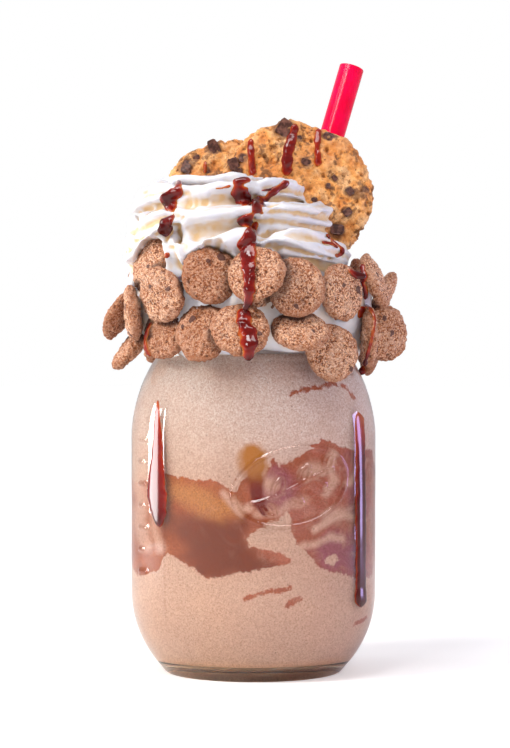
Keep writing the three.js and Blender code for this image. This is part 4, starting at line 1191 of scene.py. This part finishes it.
# Each run is a row of (across, up, width) places, in millimetres as seen from the front, from its top down.
RUNS_ON_FOOD = (
    [(-24.6, 160.8, 1.6), (-24.5, 158.8, 2.6), (-24.8, 156.9, 3.3), (-26.8, 155.6, 4.3), (-27.8, 154.2, 5.3),
     (-27.4, 152.6, 4.9), (-26.4, 151, 3), (-25.9, 149.6, 1.6)],
    [(-25.9, 149.6, 1.6), (-26.8, 148.3, 2.3), (-28.4, 147, 4.3), (-29.1, 144.7, 4.9), (-28.7, 143.1, 3.9),
     (-28.7, 141.8, 1.6)],
    [(-29.4, 135.2, 1), (-28.4, 136.2, 2), (-27.1, 136.8, 1.3)],
    [(-29.9, 134.2, 0.7), (-29.7, 133.2, 0.7)],
    [(-13, 157.9, 0.5), (-10.3, 158.2, 0.7), (-7.1, 159, 1)],
    [(-7.1, 159.5, 2), (-4.4, 160.5, 2.6), (-1.8, 160.8, 2.3), (-0.5, 160.5, 1)],
    [(-5.7, 160.2, 2.6), (-5.1, 158.5, 4.9), (-4.4, 156.5, 4.9), (-3.4, 154.6, 4.6), (-2.6, 152.9, 4.3),
     (-2.1, 151.6, 2.6)],
    [(2.1, 157.2, 0.5), (4.1, 157.5, 0.8), (6.4, 157.9, 1)],
    [(12, 160.2, 1.3), (10.3, 159.5, 2.6), (8.4, 158.5, 2.6), (6.7, 157.2, 2.2), (4.8, 155.9, 3),
     (2.8, 153.9, 4.3), (1.1, 151.6, 4.6), (-0.2, 149.6, 3.3)],
    [(0.5, 149.6, 3), (-1.8, 148.7, 4.3), (-2.8, 147.3, 4.9), (-2.5, 145.7, 3.6), (-1.5, 144.7, 2)],
    [(1.5, 147.3, 1.6), (-0.2, 144.7, 2.6), (-1.1, 142.4, 3.9), (-2.1, 140.1, 5.6), (-1.6, 137.2, 4.6),
     (-1.6, 132.6, 4.3), (-1.3, 128, 3.4), (-1.3, 123.7, 3.1), (-1.6, 121.1, 2.3), (-2.4, 119.4, 2),
     (-3, 117.6, 2.2)],
    [(-3.4, 119.1, 3.9), (-3.3, 115.8, 4.4), (-2.5, 112.5, 4.6), (-1.5, 108.9, 5.1), (-1.5, 106.3, 4.6),
     (-1.6, 104.3, 3), (-1.7, 102.4, 2.6), (-1.6, 101, 2.3)],
    [(23.5, 143.4, 1), (26.3, 140.1, 1.6), (29.4, 137.8, 1.6), (29.2, 136.5, 1.3), (26.4, 135.7, 1.3)],
    [(22, 140.5, 1), (25.5, 139.9, 1.3), (28.1, 138.3, 1)],
    [(30.7, 131.7, 1.3), (32.9, 130, 2), (35.3, 129.1, 2.3), (37.3, 129.6, 1.3)],
    [(35.6, 133.6, 1.3), (36, 131.3, 2), (36.1, 129, 3.3), (36.3, 126.3, 2.6), (36.9, 123.4, 2.3),
     (36.5, 121.1, 1)],
    [(36.9, 119.1, 1.6), (35.3, 117.5, 3), (34, 115.5, 2.3)],
    [(36.6, 120.1, 1), (38.3, 118.4, 1.3), (39.6, 116.1, 1.3), (39.6, 113.2, 1.3), (38.9, 108.9, 1.1),
     (37.8, 104.7, 1.1), (36.9, 101.4, 1.3), (36.3, 99.4, 2)],
    [(36.3, 100.1, 2.3), (35.8, 98.1, 2.8), (35.5, 96.4, 1.6)],
    [(-33, 114.2, 1.6), (-34.5, 111.9, 1.5), (-35.3, 109.3, 1.5), (-35.4, 106.6, 1.5), (-34.6, 104.3, 2),
     (-33.3, 102.8, 1.3)],
)
RUNS_ON_COOKIES = (
    [(-0.8, 174.6, 1.5), (-1, 172, 2.1), (-0.7, 168.7, 2.2), (-0.5, 165.4, 2.6), (-0.5, 161.5, 2.5)],
    [(14, 179.5, 2), (13.1, 176.2, 2.7), (12.3, 173, 3.3), (11.2, 169.7, 3), (11, 166.1, 3.4),
     (11, 161.8, 3.3)],
    [(21.5, 177.9, 1.6), (21, 174.6, 2.3), (20.9, 171.3, 1.6), (21.2, 168, 2.3), (21.2, 164.8, 3)],
    [(-15.9, 167.4, 1), (-15.8, 165.1, 1.3), (-15.9, 162.5, 1)],
)
# Runs at the sides and the back, each with the direction that it is seen from, in degrees round the jar.
RUNS_ROUND = (
    (122, [(-3, 136.5, 2), (-2, 133, 3.4), (-0.5, 128.5, 3.2), (1.4, 121, 3), (1, 113, 3.4), (0.6, 106, 2.4),
           (0.5, 103, 1.6)]),
    (150, [(6, 137, 2), (6.5, 133, 3.4), (6, 127, 3.2), (5.4, 119, 2.8), (5, 112, 2.4)]),
    (205, [(-9, 139, 2), (-9.4, 134, 3.2), (-9, 126, 3.2), (-8.4, 117, 2.8), (-8.6, 108, 3),
           (-8.4, 104, 1.8)]),
    (236, [(4, 152, 2), (3.4, 147, 4), (4, 141, 4.4), (4.6, 134, 3.4), (4.4, 126, 3.2), (5, 117, 3),
           (5.4, 109, 2)]),
)
# On the glass a bead has a thickness too, in millimetres.
BEADS_ON_GLASS = (
    [(34.4, 84.6, 1.6, 0.08), (34.9, 82.5, 3.2, 0.12), (35.2, 77, 3.4, 0.2), (35.2, 70, 3.2, 0.5),
     (35.3, 55, 3.4, 0.7), (35.3, 40, 3.2, 0.7), (35.2, 27, 3.2, 0.8), (35.2, 22.5, 3.8, 1.1),
     (35.2, 20.5, 2.2, 0.9)],
    [(-31.4, 88.5, 0.7, 0.1), (-31.6, 82, 2, 0.2), (-31.5, 76, 3, 0.3), (-31.7, 69, 4.2, 0.3),
     (-32, 62.5, 6.2, 0.35), (-31.8, 56.5, 6.6, 0.4), (-31.2, 51.5, 5, 0.5), (-31, 48.5, 2.8, 0.6),
     (-30.8, 46.8, 1.4, 0.5)],
)


def glass_radius(height):
    """How far the outside of the glass is from its axis at each height."""
    above = np.clip(height - SHOULDER_BOTTOM, 0, 30)
    below = np.clip(HEEL_TOP - height, 0, 24)
    return (JAR_RADIUS - SHOULDER_RADIUS + np.sqrt(SHOULDER_RADIUS**2 - above**2)
            - HEEL_RADIUS + np.sqrt(HEEL_RADIUS**2 - below**2))


def beads_on_glass(name, runs, across_count=24, step=0.4):
    """Beads of syrup that ran down the glass: a rounded back on the wall, with uneven edges."""
    pieces, thickness = [], []
    around = np.concatenate([np.linspace(-1, 1, across_count), np.linspace(1, -1, across_count)[1:-1]])
    for route in runs:
        route = np.array(route, float)
        along = np.concatenate([[0], np.cumsum(np.hypot(*np.diff(route[:, :2], axis=0).T))])
        run = np.linspace(0, along[-1], int(along[-1] / step))
        a, b, width, thick = (np.interp(run, along, route[:, k]) for k in range(4))
        y = -JAR_RADIUS * np.cos(np.arcsin(a / (JAR_RADIUS + 3)))
        # Where the sight line of each place meets the glass, closed in on by steps.
        for _ in range(8):
            scale = (y - CAMERA.y) / -CAMERA.y
            x, z = CAMERA.x + (a - CAMERA.x) * scale, CAMERA.z + (b - CAMERA.z) * scale
            y = -np.sqrt(np.maximum(glass_radius(z)**2 - x**2, 1))
        turn = np.arctan2(x, -y)
        facing = np.cos(turn)
        ease = np.sqrt(np.clip(np.minimum(run, along[-1] - run) / np.maximum(width / 2, 0.4), 0.02, 1))
        ragged = lumps(np.stack([run, 0 * run, 0 * run], -1), 2.6, 51, 3)
        other = lumps(np.stack([run, 9 + 0 * run, 0 * run], -1), 2.2, 52, 3)
        points = []
        for k in range(len(run)):
            left = width[k] / 2 / facing[k] * ease[k] * (1 + 0.16 * ragged[k])
            right = width[k] / 2 / facing[k] * ease[k] * (1 + 0.16 * other[k])
            for share in around:
                top = len(points) % len(around) < across_count
                s = share * (left if share < 0 else right)
                lift = thick[k] * max(ease[k], 0.2) * max(0.0, 1 - share**4) ** 0.5 if top else 0.0
                angle = turn[k] + s / glass_radius(z[k])
                r = glass_radius(z[k]) + (lift if top else -0.1)
                points.append((r * math.sin(angle), -r * math.cos(angle), z[k]))
                thickness.append(0.15 + 2.6 * lift)
        pieces.append(mesh_piece("bead", points, ring_faces(len(run), len(around))))
    piece = joined(name, pieces)
    set_values(piece, "thick", thickness)
    bpy.data.collections["gleaming"].objects.link(piece)
    return finished(piece, bpy.data.materials["chocolate syrup"], "syrup")


def laid(route, tree, height=0.3, step=0.35, view=0.0):
    """A run of syrup laid along a route on what shows there. view turns the whole look about the jar's axis,
    in degrees. A run never goes back faster than it falls, so that it hangs clear past an edge."""
    route = np.array(route, float)
    along = np.concatenate([[0], np.cumsum(np.hypot(*np.diff(route[:, :2], axis=0).T))])
    count = max(6, int(along[-1] / step))
    places = np.stack([np.interp(np.linspace(0, along[-1], count), along, route[:, k])
                       for k in range(route.shape[1])], -1)
    kernel = np.array([1, 2, 3, 2, 1]) / 9
    padded = np.pad(places, ((2, 2), (0, 0)), mode="edge")
    places = np.stack([np.convolve(padded[:, k], kernel, "valid") for k in range(route.shape[1])], -1)
    turn = Matrix.Rotation(math.radians(view), 3, "Z")
    eye = turn @ CAMERA
    spots, outs = [], []
    for a, b in places[:, :2]:
        way = (turn @ Vector((a, 0, b)) - eye).normalized()
        spot, out, face, depth = tree.ray_cast(eye, way)
        if spot is None:
            depth = spots[-1][1] if spots else (turn @ Vector((a, 0, b)) - eye).length
            out = -way
        if spots:
            depth = min(depth, spots[-1][1] + 0.25 * step + 0.02)
        spots.append((eye + way * depth, depth))
        outs.append(out if out.dot(way) < 0 else -out)
    at = np.array([spot for spot, depth in spots])
    out = np.array(outs)
    for _ in range(3):
        at[1:-1] = (at[:-2] + 2 * at[1:-1] + at[2:]) / 4
        out[1:-1] = (out[:-2] + out[1:-1] + out[2:]) / 3
    way = np.gradient(at, axis=0)
    side = np.cross(way, out)
    side /= np.linalg.norm(side, axis=1)[:, None]
    out = np.cross(side, way)
    out /= np.linalg.norm(out, axis=1)[:, None]
    run = np.linspace(0, along[-1], count)
    half = places[:, 2] * 0.6 * (1 + 0.10 * np.sin(run * 1.7 + along[-1]))
    taper = np.sqrt(np.clip(np.minimum(run, along[-1] - run) / np.maximum(half, 0.3), 0.02, 1))
    half = half * taper
    tall = np.minimum(half * 2 * height, 1.2) + 0.08
    path = [(at[k] + out[k] * 0.1, side[k], out[k]) for k in range(count)]
    return tube(path, [(half[k], tall[k] * max(taper[k], 0.3)) for k in range(count)], 20)


def syrup_piece(name, runs, carriers):
    """Runs of syrup melted into one skin, which notes how thick it lies on what carries it."""
    tree = tree_of(carriers)
    pieces = [mesh_piece("run", *laid(route, tree, view=view)) for view, route in runs]
    piece = joined(name, pieces)
    melt(piece, SYRUP_GRAIN, 6)
    points = points_of(piece)
    thick = [tree.find_nearest(Vector(p))[3] for p in points]
    set_values(piece, "thick", thick)
    bpy.data.collections["gleaming"].objects.link(piece)
    return finished(piece, bpy.data.materials["chocolate syrup"], "syrup")


def chocolate_syrup():
    """Poured chocolate syrup: glassy, orange-brown where it thins out and nearly black-red where it lies
    deep."""
    material, tree, place = new_material("chocolate syrup")
    thick = add(tree, "Attribute", {"attribute_name": "thick"}, "Fac")
    cloud = add(tree, "TexNoise", Vector=place, Scale=every(3), Detail=2, Roughness=0.55)
    uneven = add(tree, "Math", {"operation": "MULTIPLY_ADD"}, i0=cloud, i1=0.5, i2=thick)
    depth = add(tree, "MapRange", Value=uneven, From_Min=0.2, From_Max=2.0)
    stops = ((0.05, "#A8692C"), (0.2, "#A04A1C"), (0.36, "#86200F"), (0.6, "#660F0A"), (0.95, "#420807"))
    colour = add(tree, "ValToRGB", {"stops": stops}, Fac=depth)
    shader = add(tree, "BsdfPrincipled", Base_Color=colour, Roughness=0.09, IOR=1.4)
    add(tree, "OutputMaterial", Surface=shader)
    return material


camera()
paper_floor()
pale_room()
lights()
glass = jar()
shake()
straw()
toasted_crumb()
cookie_dough()
dark_chocolate()
chocolate_syrup()
cereal_frames = {number: disc_frame(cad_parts[f"cereal_{number:02d}"])
                 for number in range(1, CEREAL_COUNT + 1)}
cream = whipped_cream()
collar = cream_collar()
cereals = [cereal_piece(number) for number in range(1, CEREAL_COUNT + 1)]
cookies = [cookie(cookie_name, **facts) for cookie_name, facts in COOKIES.items()]
for cookie_name, facts in COOKIES.items():
    cookie_chips(cookie_name, CHIPS[cookie_name], **facts)
syrup_piece("poured_syrup", [*((0, run) for run in RUNS_ON_FOOD), *RUNS_ROUND],
            [cream, collar, glass, *cereals, *cookies])
syrup_piece("syrup_on_cookies", [(0, run) for run in RUNS_ON_COOKIES], cookies)
beads_on_glass("syrup_on_glass", BEADS_ON_GLASS)
